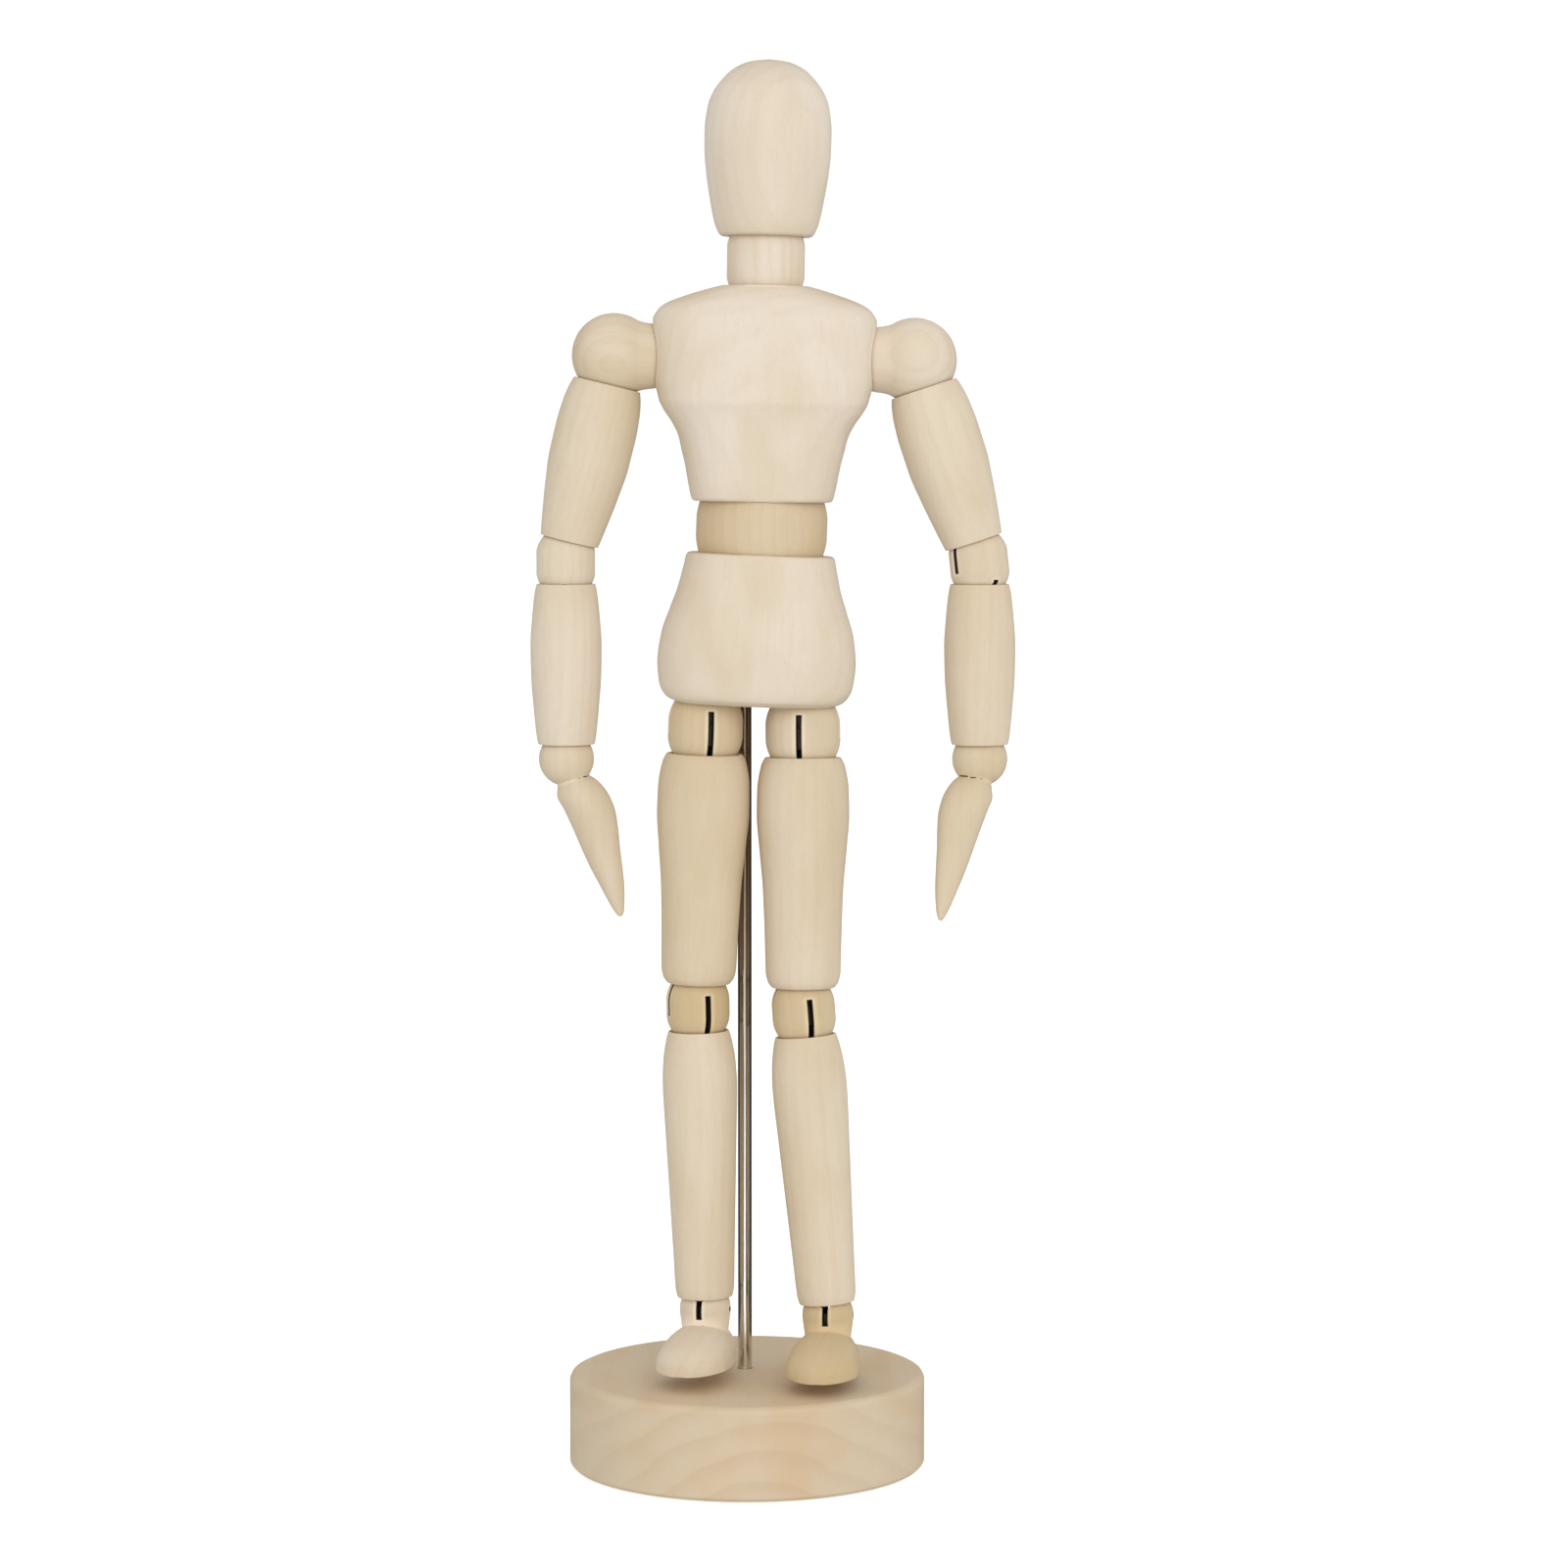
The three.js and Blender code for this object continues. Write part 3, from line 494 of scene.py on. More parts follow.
def shoulder_ball(name, way):
    tools = []
    for outward in SHOULDER["fans"]:
        slot = fan(SHOULDER["slot"], SHOULDER["angle"])
        tools.append(transformed(slot, spin(-way * outward, "Y") @ spin(90, "Z")))
    tools.append(bar(PIN["hole"], -PIN["reach"] * SHOULDER["dome"], 12, "y"))
    half, high = SHOULDER["slot"] / 2, EYE_ROOM + GAP
    mouth = prism("mouth", [(-half, -high), (half, -high), (half, high), (-half, high)], 15)
    tools.append(transformed(mouth, shift(-way * 7.5, 0, 0)))
    return cut(lying(turned(name, shoulder_profile()), -way), *tools)


def pelvis_piece(name, rod):
    tools = []
    for x in (-PELVIS["spread"], PELVIS["spread"]):
        tools.append(transformed(ball(BALLS["hip"]["dome"] + GAP, -LONG["thigh"]["top"][1]),
                                 shift(x, 0, 0)))
        tools.append(bar(BORE, 0, PELVIS["pin"] + 2, "z", (x, 0, 0)))
    tools.append(rod)
    tools.append(ball(WAIST["dome"] + GAP, PELVIS["height"] + WAIST["beyond"]))
    tools.append(bar(TRUNK_BORE, PELVIS["pin"] - 2, PELVIS["height"], "z"))
    tools.append(bar(PIN["hole"], -30, PELVIS["reach"], "x", (0, 0, PELVIS["pin"])))
    return cut(carved(name, PELVIS_SECTIONS, 2.5, sides=128), *tools)


def chest_piece(name):
    spread, high = CHEST["spread"], CHEST["shoulder"]
    tools = []
    for way in (-1, 1):
        seat = lying(turned("seat", shoulder_profile(GAP)), -way)
        tools.append(transformed(seat, shift(way * spread, 0, high)))
    reach = spread - SHOULDER["inner"]
    tools += [
        bar(CROSS_BORE, -reach, reach, "x", (0, 0, high)),
        ball(WAIST["dome"] + GAP, -WAIST["beyond"]),
        ball(NECK["dome"] + GAP, CHEST["height"] + NECK["beyond"]),
        bar(TRUNK_BORE, 5, CHEST["height"], "z"),
    ]
    return cut(carved(name, CHEST_SECTIONS, 2.7, 120, sides=128), *tools)


def head_piece(name):
    return cut(
        carved(name, HEAD_SECTIONS, 2.0, 100, sides=128),
        ball(NECK["dome"] + GAP, -NECK["beyond"]),
        bar(TRUNK_BORE, 0, HEAD["pin"] + 2, "z"),
        bar(PIN["hole"], -HEAD["reach"], 20, "y", (0, 0, HEAD["pin"])),
    )


def hinged(piece, dome, swing, height):
    """Cuts the slot of a wrist or ankle ball, which opens upward, and the hole for its pin along X.
    The narrow lip goes down to `height` below the middle."""
    below = [
        fan(HINGE_SLOT, swing),
        lip(dome, 0, HINGE_SLOT, swing_height(dome, 0, swing)),
        lip(dome, 0, SLOT, height),
    ]
    above = [transformed(tool, spin(180, "X")) for tool in below]
    return cut(piece, *above, bar(PIN["hole"], -PIN["reach"] * dome, dome + 2, "x"))


def hand_piece(name, way):
    rows = [(z, half, front, back, -way * inward)
            for z, half, front, back, inward in HAND_SECTIONS]
    wrist = turned(name, arc(0, WRIST_DOME, 180, 0, 48))
    lowest = swing_height(WRIST_DOME, 0, WRIST_SWING)
    return hinged(join(wrist, carved("blade", rows, 1.8, 80)), WRIST_DOME, WRIST_SWING, lowest)


def foot_piece(name):
    dome = ANKLE_DOME
    profile = [(0, -8.5), (4.5, -8.5), (5, -4.5), (dome, -0.6)] + arc(0, dome, 90, 0, 24)
    ankle = turned(name, eased(profile, 0.5))
    blade = carved("blade", FOOT_SECTIONS, 2.2, 80, lower_power=7)
    # The section's front half is the sole once the piece lies down.
    transformed(blade, shift(0, 0, FOOT_LINE) @ spin(90, "X"))
    slots = [transformed(tool, spin(180, "X")) for tool in notches(dome, ANKLE_NOTCH)]
    return cut(hinged(join(ankle, blade), dome, SWING, ANKLE_NOTCH), *slots)


# ---- Springs ----
def tube(name, path, radius, sides=7):
    """A wire along a path, with flat ends."""
    points = [Vector(p) for p in path]
    tangents = []
    for i in range(len(points)):
        tangents.append((points[min(i + 1, len(points) - 1)] - points[max(i - 1, 0)]).normalized())
    normal = tangents[0].orthogonal().normalized()
    rings = []
    for point, tangent in zip(points, tangents):
        normal = (normal - tangent * normal.dot(tangent)).normalized()
        side = tangent.cross(normal)
        ring = []
        for k in range(sides):
            a = 2 * math.pi * k / sides
            ring.append(tuple(point + (normal * math.cos(a) + side * math.sin(a)) * radius))
        rings.append(ring)
    rings = [[tuple(points[0])], *rings, [tuple(points[-1])]]
    return loft(name, rings)


def hook_path(radius, z, axis, coil, offset, turn):
    """From the free end of an eye round its pin, and down its shank to the coils."""
    way = math.copysign(1, coil - z)
    points = []
    for a in np.radians(np.linspace(EYE_START, EYE_START + EYE_SWEEP, 23)):
        points.append((radius * math.sin(a), z - way * radius * math.cos(a)))
    near = z + way * (radius + 0.55)
    points += [(0.12, near), (0.0, near + way * 0.35)]
    points += [(0.0, coil - way * 0.75), (0.55, coil - way * 0.38)]
    c, s = math.cos(math.radians(turn)), math.sin(math.radians(turn))
    path = []
    for out, height in points:
        x, y = (offset, out) if axis == "x" else (out, offset)
        path.append((c * x - s * y, s * x + c * y, height))
    return path


def spring_path(low, high):
    """One wire: the lower hook, the close coils and the upper hook."""
    bottom, top = hook_path(**low), hook_path(**high)
    turns = int((high["coil"] - low["coil"]) / (WIRE * 1.05))
    start = math.atan2(bottom[-1][1], bottom[-1][0])
    end = math.atan2(top[-1][1], top[-1][0])
    total = 2 * math.pi * turns + (end - start) % (2 * math.pi)
    steps = turns * 14
    coils = []
    for i in range(steps + 1):
        t = i / steps
        a = start + total * t
        z = low["coil"] + (high["coil"] - low["coil"]) * t
        coils.append((COIL_RADIUS * math.cos(a), COIL_RADIUS * math.sin(a), z))
    return bottom + coils + top[::-1]


def end_of(z, coil, axis, radius=EYE_RADIUS, offset=0.0, turn=0.0):
    return {"radius": radius, "z": z, "axis": axis, "coil": coil, "offset": offset, "turn": turn}


# ---- Materials ----
def nodes_of(name):
    material = bpy.data.materials.new(name)
    material.use_nodes = True
    tree = material.node_tree
    tree.nodes.clear()
    output = tree.nodes.new("ShaderNodeOutputMaterial")
    shader = tree.nodes.new("ShaderNodeBsdfPrincipled")
    tree.links.new(shader.outputs[0], output.inputs[0])
    return material, tree, shader


def set_inputs(node, values):
    for key, value in values.items():
        node.inputs[key].default_value = value


class Graph:
    """Short calls that add nodes to a tree."""

    def __init__(self, tree):
        self.tree = tree

    def node(self, kind, **settings):
        node = self.tree.nodes.new(kind)
        for key, value in settings.items():
            setattr(node, key, value)
        return node

    def feed(self, socket, value):
        if isinstance(value, bpy.types.NodeSocket):
            self.tree.links.new(value, socket)
        else:
            socket.default_value = value

    def attribute(self, name, output):
        return self.node("ShaderNodeAttribute", attribute_name=name).outputs[output]

    def math(self, operation, a, b=0.0, c=0.0):
        node = self.node("ShaderNodeMath", operation=operation)
        for socket, value in zip(node.inputs, (a, b, c)):
            self.feed(socket, value)
        return node.outputs[0]

    def times(self, a, b):
        return self.math("MULTIPLY", a, b)

    def noise(self, vector, scale, detail=2.0, roughness=0.5):
        """Noise with its own scale along each axis"""
        scaled = self.node("ShaderNodeVectorMath", operation="MULTIPLY")
        self.feed(scaled.inputs[0], vector)
        scaled.inputs[1].default_value = scale
        node = self.node("ShaderNodeTexNoise")
        self.feed(node.inputs["Vector"], scaled.outputs[0])
        set_inputs(node, {"Scale": 1.0, "Detail": detail, "Roughness": roughness})
        return node.outputs["Fac"]

    def spread(self, value, low, high, to_low=0.0, to_high=1.0):
        node = self.node("ShaderNodeMapRange", interpolation_type="SMOOTHSTEP")
        self.feed(node.inputs["Value"], value)
        set_inputs(node, {"From Min": low, "From Max": high, "To Min": to_low, "To Max": to_high})
        return node.outputs[0]

    def mix(self, factor, a, b, blend="MIX"):
        node = self.node("ShaderNodeMix", data_type="RGBA", blend_type=blend)
        self.feed(node.inputs[0], factor)
        self.feed(node.inputs[6], a)
        self.feed(node.inputs[7], b)
        return node.outputs[2]

    def split(self, vector):
        node = self.node("ShaderNodeSeparateXYZ")
        self.feed(node.inputs[0], vector)
        return node.outputs

    def bump(self, height, strength, distance):
        node = self.node("ShaderNodeBump")
        set_inputs(node, {"Strength": strength, "Distance": distance})
        self.feed(node.inputs["Height"], height)
        return node.outputs[0]


def linear(r, g, b):
    """A colour given as sRGB from 0 to 255"""
    values = [v / 255 for v in (r, g, b)]
    return (*[v / 12.92 if v < 0.04045 else ((v + 0.055) / 1.055) ** 2.4 for v in values], 1.0)


def late_wood(g, grain, ring_width, drift):
    """How far each point is into the dark part of its growth ring, from 0 to 1. The rings drift
    along the grain and wobble a little."""
    slow = g.noise(grain, (0.045, 0.045, 0.009))
    wobble = g.noise(grain, (0.2, 0.2, 0.02))
    x, y, _ = g.split(grain)
    radius = g.math("SQRT", g.math("MULTIPLY_ADD", y, y, g.times(x, x)))
    radius = g.math("ADD", g.math("MULTIPLY_ADD", slow, drift, radius), wobble)
    phase = g.math("FRACT", g.math("DIVIDE", radius, ring_width))
    return g.times(g.spread(phase, 0.3, 0.9), g.spread(phase, 1.0, 0.9))


def wood(name, pale, warm, ring, ring_width, ring_mix, blotch, end_mix, drift, rim):
    """Solid wood. Growth rings lie round the grain's own Z axis, so their cut shows as lines along
    the piece and as arcs across its ends. Sharp edges are painted pale, partly as wear and partly as
    a painted highlight, and faces inside slots, bores and sockets are painted near black as shade."""
    material, tree, shader = nodes_of(name)
    g = Graph(tree)
    grain = g.attribute("grain", "Vector")
    edge, end, inside = [g.attribute(key, "Fac") for key in ("edge", "end", "inside")]
    fibre = g.noise(grain, (5.0, 5.0, 0.22), 4.0, 0.62)
    streak = g.noise(grain, (0.8, 0.8, 0.022), 3.0, 0.6)
    pore = g.spread(g.noise(grain, (7.0, 7.0, 0.55), 1.0, 0.4), 0.63, 0.72)
    patch = g.noise(grain, (0.07, 0.07, 0.03))

    colour = g.mix(g.times(g.spread(patch, 0.35, 0.7), blotch), pale, warm)
    colour = g.mix(g.spread(streak, 0.45, 0.75, 0.0, 0.3), colour, warm)
    ring_amount = g.math("MULTIPLY_ADD", end, ring_mix * 0.8, ring_mix)
    colour = g.mix(g.times(late_wood(g, grain, ring_width, drift), ring_amount), colour, ring)
    colour = g.mix(1.0, colour, g.spread(fibre, 0.3, 0.7, 0.972, 1.02), "MULTIPLY")
    colour = g.mix(g.times(pore, 0.1), colour, ring)
    colour = g.mix(g.times(end, end_mix * 0.35), colour, ring)
    # Painted pale edges: partly wear, and partly a painted highlight where rounded rims catch the
    # light
    light = tuple(min(1.0, c * 1.2) for c in pale[:3]) + (1.0,)
    wear_and_highlight = g.times(edge, g.spread(fibre, 0.3, 0.6, 0.55 * rim, 0.95 * rim))
    colour = g.mix(wear_and_highlight, colour, light)
    # Painted shade: faces inside slots, bores and sockets take a near-black brown where little light
    # reaches
    colour = g.mix(g.times(inside, g.spread(fibre, 0.2, 0.8, 0.98, 0.9)), colour, CAVITY_SHADE)
    g.feed(shader.inputs["Base Color"], colour)

    rough = g.spread(fibre, 0.3, 0.7, 0.52, 0.66)
    g.feed(shader.inputs["Roughness"], g.math("MULTIPLY_ADD", edge, -0.08, rough))
    shader.inputs["Specular IOR Level"].default_value = 0.3
    sanding = g.noise(grain, (0.8, 0.8, 9.0))
    height = g.math("MULTIPLY_ADD", fibre, 0.7, g.times(sanding, 0.18))
    height = g.math("SUBTRACT", height, g.times(pore, 0.35))
    g.feed(shader.inputs["Normal"], g.bump(height, 0.4, 0.00006))
    return material


def steel(name, colour, low, high, drawn, top_darkening):
    """Metal with fine drawing marks along the grain's Z axis. Towards the top of a long piece its
    colour is multiplied by the last argument, most of all in blue, so that it grows darker and
    browner."""
    material, tree, shader = nodes_of(name)
    g = Graph(tree)
    grain = g.attribute("grain", "Vector")
    marks = g.noise(grain, (9.0, 9.0, 0.3), 3.0, 0.6)
    stains = g.noise(grain, (0.6, 0.6, 0.12), 3.0, 0.6)
    dark = tuple(c * 0.72 for c in colour[:3]) + (1.0,)
    brown = (colour[0] * top_darkening, colour[1] * top_darkening ** 1.2, colour[2] * top_darkening ** 1.5, 1.0)
    stained = g.mix(g.spread(stains, 0.4, 0.75, 0.0, drawn), colour, dark)
    # Darker and browner towards the top of the piece
    high_up = g.spread(g.split(grain)[2], -50, 45)
    g.feed(shader.inputs["Base Color"], g.mix(high_up, stained, brown))
    g.feed(shader.inputs["Roughness"], g.spread(marks, 0.3, 0.7, low, high))
    shader.inputs["Metallic"].default_value = 1.0
    g.feed(shader.inputs["Normal"], g.bump(marks, 0.25, 0.00002))
    return material


# ---- Finishing and placing ----
# Edges sharper than this, in radians, are painted pale over about this width, partly as wear and
# partly as a painted highlight
WEAR_AND_HIGHLIGHT_ANGLE = 0.45
WEAR_AND_HIGHLIGHT_WIDTH = 0.46
# The widest slot or bore, and half the widest slot floor
CAVITY = 4.6
HALF_SLOT = 1.3
# How a point's axes are taken for each direction of the fibres, so that they lie along Z
FIBRE_ORDER = {"x": [1, 2, 0], "y": [0, 2, 1], "z": [0, 1, 2]}


def write_attribute(mesh, name, kind, values, domain="POINT"):
    attribute = mesh.attributes.new(name, kind, domain)
    key = "vector" if kind == "FLOAT_VECTOR" else "value"
    attribute.data.foreach_set(key, np.asarray(values, np.float32).ravel())


def edge_closeness(mesh):
    """1 on a sharp edge, falling to 0 within a millimetre"""
    work = bmesh.new()
    work.from_mesh(mesh)
    points = []
    for line in work.edges:
        if len(line.link_faces) == 2 and line.calc_face_angle(0) > WEAR_AND_HIGHLIGHT_ANGLE:
            a, b = line.verts[0].co, line.verts[1].co
            points += [a.copy(), b.copy(), (a + b) / 2]
    work.free()
    if not points:
        return np.zeros(len(mesh.vertices))
    tree = kdtree.KDTree(len(points))
    for i, point in enumerate(points):
        tree.insert(point, i)
    tree.balance()
    far = np.array([tree.find(v.co)[2] for v in mesh.vertices])
    return np.exp(-((far / WEAR_AND_HIGHLIGHT_WIDTH) ** 2))


def in_cavity(tree, point, normal):
    """Whether a face looks across a slot or a bore at the same piece, or is the floor of a slot."""
    if tree.ray_cast(point + normal * 0.01, normal, CAVITY)[0] is not None:
        return True
    start = point + normal * 0.2
    across = normal.orthogonal().normalized()
    along = normal.cross(across)
    for a in range(0, 180, 30):
        aim = across * math.cos(math.radians(a)) + along * math.sin(math.radians(a))
        if all(tree.ray_cast(start, way, HALF_SLOT)[0] is not None for way in (aim, -aim)):
            return True
    return False


def cavity_faces(mesh):
    """1 for a face inside a slot or a bore, which the wood paints dark as shade, 0 for any other"""
    work = bmesh.new()
    work.from_mesh(mesh)
    tree = bvhtree.BVHTree.FromBMesh(work)
    found = [float(in_cavity(tree, f.calc_center_median(), f.normal)) for f in work.faces]
    work.free()
    return found


def finish_wood(piece, material, seed, fibre="z", pith=None):
    """Stores where each point lies in the log that the piece is cut from."""
    mesh = piece.data
    draw = random.Random(seed)
    if pith is None:
        angle = draw.uniform(0, 2 * math.pi)
        far = draw.uniform(28, 55)
        pith = (far * math.cos(angle), far * math.sin(angle))
    along = draw.uniform(-400, 400)
    order = FIBRE_ORDER[fibre]
    points = np.array([v.co for v in mesh.vertices])[:, order]
    normals = np.array([v.normal for v in mesh.vertices])[:, order]
    write_attribute(mesh, "grain", "FLOAT_VECTOR", points - np.array([*pith, along]))
    write_attribute(mesh, "edge", "FLOAT", edge_closeness(mesh))
    write_attribute(mesh, "end", "FLOAT", np.clip((np.abs(normals[:, 2]) - 0.55) / 0.4, 0, 1))
    # Faces inside slots, bores and sockets, which take painted shade
    write_attribute(mesh, "inside", "FLOAT", cavity_faces(mesh), "FACE")
    mesh.materials.clear()
    mesh.materials.append(material)


def finish_metal(piece, material):
    mesh = piece.data
    write_attribute(mesh, "grain", "FLOAT_VECTOR", [v.co for v in mesh.vertices])
    mesh.materials.clear()
    mesh.materials.append(material)


def put(piece, place, node, sharp=SHARP_ANGLE):
    """Puts a piece in its place, in metres, and hides the imported part that it stands for."""
    mesh = piece.data
    mesh.transform(place @ Matrix.Scale(MM, 4))
    mesh.polygons.foreach_set("use_smooth", [True] * len(mesh.polygons))
    mesh.set_sharp_from_angle(angle=sharp)
    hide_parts(node)


def settle(piece, place, node):
    """Puts a finished piece in place on its node's body."""
    put(piece, place, node)
    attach(piece, BODY_OF[node])


def basis(origin, x=None, y=None, z=None):
    """A place whose axes point along two of the given directions"""
    if z is None:
        z = Vector(x).cross(Vector(y))
    if x is None:
        x = Vector(y).cross(Vector(z)) if y is not None else Vector((1, 0, 0))
    z = Vector(z).normalized()
    x = (Vector(x) - z * Vector(x).dot(z)).normalized()
    y = z.cross(x)
    return Matrix.Translation(Vector(origin)) @ Matrix((x, y, z)).transposed().to_4x4()


def pivot(joint):
    return Vector(JOINTS[joint]["pos_m"])


def axis_of(joint, sign=1):
    return Vector(JOINTS[joint]["axis"]) * sign


def moved(place, x, y, z):
    return place @ shift(x * MM, y * MM, z * MM)


# ---- Colours ----
PALE_WOOD = (231, 219, 203)
DEEP_WOOD = (208, 186, 147)
LATE_WOOD = linear(188, 156, 112)
BASE_PALE = linear(216, 199, 172)
BASE_WARM = linear(214, 188, 152)
BASE_LATE = linear(192, 156, 120)
# Painted shade: a near-black brown for faces inside slots, bores and sockets
CAVITY_SHADE = linear(28, 18, 11)
# How much lighter and deeper the two colours of a piece's wood are than its depth
PALER = 0.06
DEEPER = 0.34

# How deep each piece's colour is, from the palest wood to the deepest. Limbs have right, left.
DEPTH = {"head": 0.08, "chest": 0.12, "pelvis": 0.2, "neck_barrel": 0.15, "waist_barrel": 0.72}
LIMB_DEPTHS = {
    "shoulder_ball": (0.4, 0.22), "upper_arm": (0.35, 0.32), "elbow_ball": (0.35, 0.38),
    "forearm": (0.25, 0.42), "hand": (0.38, 0.58), "hip_ball": (0.62, 0.45),
    "thigh": (0.55, 0.42), "knee_ball": (0.95, 0.78), "shin": (0.38, 0.4), "foot": (0.2, 0.95),
}
for limb, (right_depth, left_depth) in LIMB_DEPTHS.items():
    DEPTH[f"right_{limb}"] = right_depth
    DEPTH[f"left_{limb}"] = left_depth


def tone(depth):
    return linear(*[a + (b - a) * depth for a, b in zip(PALE_WOOD, DEEP_WOOD)])


def wooden(node, piece, place, seed, **grain):
    depth = DEPTH[node]
    draw = random.Random(seed)
    ring_mix = 0.05 if SLOT_OF[node] == "body_wood" else 0.09
    material = wood(
        f"{node}_wood", tone(depth - PALER), tone(depth + DEEPER), LATE_WOOD,
        ring_width=draw.uniform(2.0, 3.2), ring_mix=ring_mix, blotch=0.65, end_mix=0.5, drift=8.0,
        rim=1.0,
    )
    finish_wood(piece, material, seed, **grain)
    settle(piece, place, node)


# The pin and spring steel is dark, partly as dark steel and partly as painted shade for the slots
# that the pins and springs sit in
PIN_STEEL = steel("pin_steel", linear(64, 60, 55), 0.35, 0.55, drawn=0.5, top_darkening=1.0)
SPRING_STEEL = steel("spring_steel", linear(66, 64, 62), 0.3, 0.45, drawn=0.3, top_darkening=1.0)
ROD_STEEL = steel("rod_steel", linear(214, 208, 200), 0.07, 0.16, drawn=0.12, top_darkening=0.28)


def add_pin(node, centre, axis, half):
    """A plain wire pin with eased ends"""
    radius = PIN["radius"]
    profile = [(0, -half), (radius, -half), (radius, half), (0, half)]
    piece = turned(f"{node}_wire", eased(profile, 0.12), 24)
    x = Vector((0, 0, 1)) if abs(axis.z) < 0.9 else Vector((1, 0, 0))
    finish_metal(piece, PIN_STEEL)
    settle(piece, basis(centre, x=x, z=axis), node)


def wire_piece(name, node, place, path):
    piece = tube(name, path, WIRE / 2)
    finish_metal(piece, SPRING_STEEL)
    put(piece, place, node, sharp=math.radians(60))
    return piece


def add_stiff_spring(node, place, low, high):
    """The wound wire of a spring that stays with its own body"""
    coils = wire_piece(f"{node}_coils", node, place, spring_path(low, high))
    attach(coils, BODY_OF[node])


def add_spring(node, place, low, high, spans):
    """The wound wire of a spring at a bending joint, cut into one piece for each span and attached to
    no body. Each span has the heights that it lies between, the body that each end goes with, and the
    heights that the change from one to the other lies between; the bodies and the heights of the
    change are not used."""
    path = spring_path(low, high)
    for i, (start, end, body_a, body_b, bend) in enumerate(spans):
        part = [p for p in path if start <= p[2] <= end]
        name = f"{node}_coils" if len(spans) == 1 else f"{node}_coils_{i + 1}"
        piece = wire_piece(name, node, place, part)
        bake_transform(piece)


# ---- The stand ----
def add_stand():
    low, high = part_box("base_disc")
    rod_low, rod_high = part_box("support_rod")
    radius, height = (high.x - low.x) / 2 / MM, (high.z - low.z) / MM
    centre = Vector(((low.x + high.x) / 2, (low.y + high.y) / 2, low.z))
    rod_at = (rod_low + rod_high) / 2
    rod_radius = (rod_high.y - rod_low.y) / 2 / MM
    profile = [(0, 0), (radius - 0.8, 0), (radius, 0.8)]
    profile += [(radius, z) for z in np.linspace(2.0, height - 2.4, 14)]
    profile += [(radius, height - BASE_EDGE), (radius - 0.45, height - 0.45),
                (radius - BASE_EDGE, height)]
    profile += [(radius * (1 - t), height) for t in np.linspace(0.08, 0.96, 24)] + [(0, height)]
    hole_at = (rod_at - centre) / MM
    hole = bar(rod_radius + ROD_CLEAR, height - ROD_HOLE_DEPTH, height + 1, "z",
               (hole_at.x, hole_at.y, 0))
    disc = cut(turned("base_disc_wood", eased(profile, 0.5), 160), hole)
    material = wood(
        "base_disc_wood", BASE_PALE, BASE_WARM, BASE_LATE,
        ring_width=6.0, ring_mix=0.1, blotch=0.9, end_mix=0.2, drift=6.0, rim=0.25,
    )
    finish_wood(disc, material, 5, fibre="y", pith=(4.0, -22.0))
    settle(disc, Matrix.Translation(centre), "base_disc")

    half = (rod_high.z - rod_low.z) / 2 / MM
    length = [(rod_radius, z) for z in np.linspace(-half + 1, half - 1, 30)]
    profile = [(0, -half), (rod_radius, -half), *length, (rod_radius, half), (0, half)]
    rod = turned("support_rod_steel", eased(profile, 0.3), 64)
    finish_metal(rod, ROD_STEEL)
    settle(rod, Matrix.Translation(rod_at), "support_rod")


# ---- The trunk ----
def trunk_places():
    waist_low, waist_high = pivot("waist_bend"), pivot("waist_lean")
    neck_low, neck_high = pivot("neck_nod"), pivot("neck_tilt")
    up = waist_high - waist_low
    pelvis = basis(waist_low, x=axis_of("waist_bend"), z=up)
    waist = basis((waist_low + waist_high) / 2, x=axis_of("waist_bend"), z=up)
    chest = basis(waist_high, x=axis_of("right_shoulder_swing", -1), z=axis_of("waist_twist"))
    neck = basis((neck_low + neck_high) / 2, x=axis_of("neck_nod"), z=neck_high - neck_low)
    head = basis(neck_high, y=axis_of("neck_tilt"), z=axis_of("head_turn"))
    return {
        "pelvis": moved(pelvis, 0, 0, -PELVIS["height"] - WAIST["beyond"]),
        "waist": waist,
        "chest": moved(chest, 0, 0, WAIST["beyond"]),
        "neck": neck,
        "head": moved(head, 0, 0, NECK["beyond"]),
    }


def rod_hole(pelvis):
    """The hole for the rod, in the pelvis's own frame"""
    low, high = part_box("support_rod")
    middle = (low + high) / 2
    radius = (high.y - low.y) / 2 / MM + GAP
    tool = turned("bar", [(0, 0), (radius, 0), (radius, 60), (0, 60)], 48)
    foot = Vector((middle.x, middle.y, high.z + GAP * MM)) / MM
    tool.data.transform(shift(foot.x, foot.y, foot.z - 60))
    into = Matrix.Scale(1 / MM, 4) @ pelvis.inverted() @ Matrix.Scale(MM, 4)
    tool.data.transform(into)
    return tool


def add_trunk(places):
    pelvis, chest, head = places["pelvis"], places["chest"], places["head"]
    wooden("pelvis", pelvis_piece("pelvis_wood", rod_hole(pelvis)), pelvis, 11, pith=(3, 46))
    wooden("waist_barrel", barrel("waist_barrel_wood", WAIST), places["waist"], 12)
    wooden("chest", chest_piece("chest_wood"), chest, 13, pith=(-9, 52))
    wooden("neck_barrel", barrel("neck_barrel_wood", NECK), places["neck"], 14)
    wooden("head", head_piece("head_wood"), head, 15, pith=(-26, 40))
    across = pelvis.to_3x3() @ Vector((1, 0, 0))
    add_pin("pelvis_pin", pelvis @ Vector((0, 0, PELVIS["pin"] * MM)), across, PELVIS["reach"])
    through = head.to_3x3() @ Vector((0, 1, 0))
    add_pin("head_pin", head @ Vector((0, 0, HEAD["pin"] * MM)), through, HEAD["reach"])


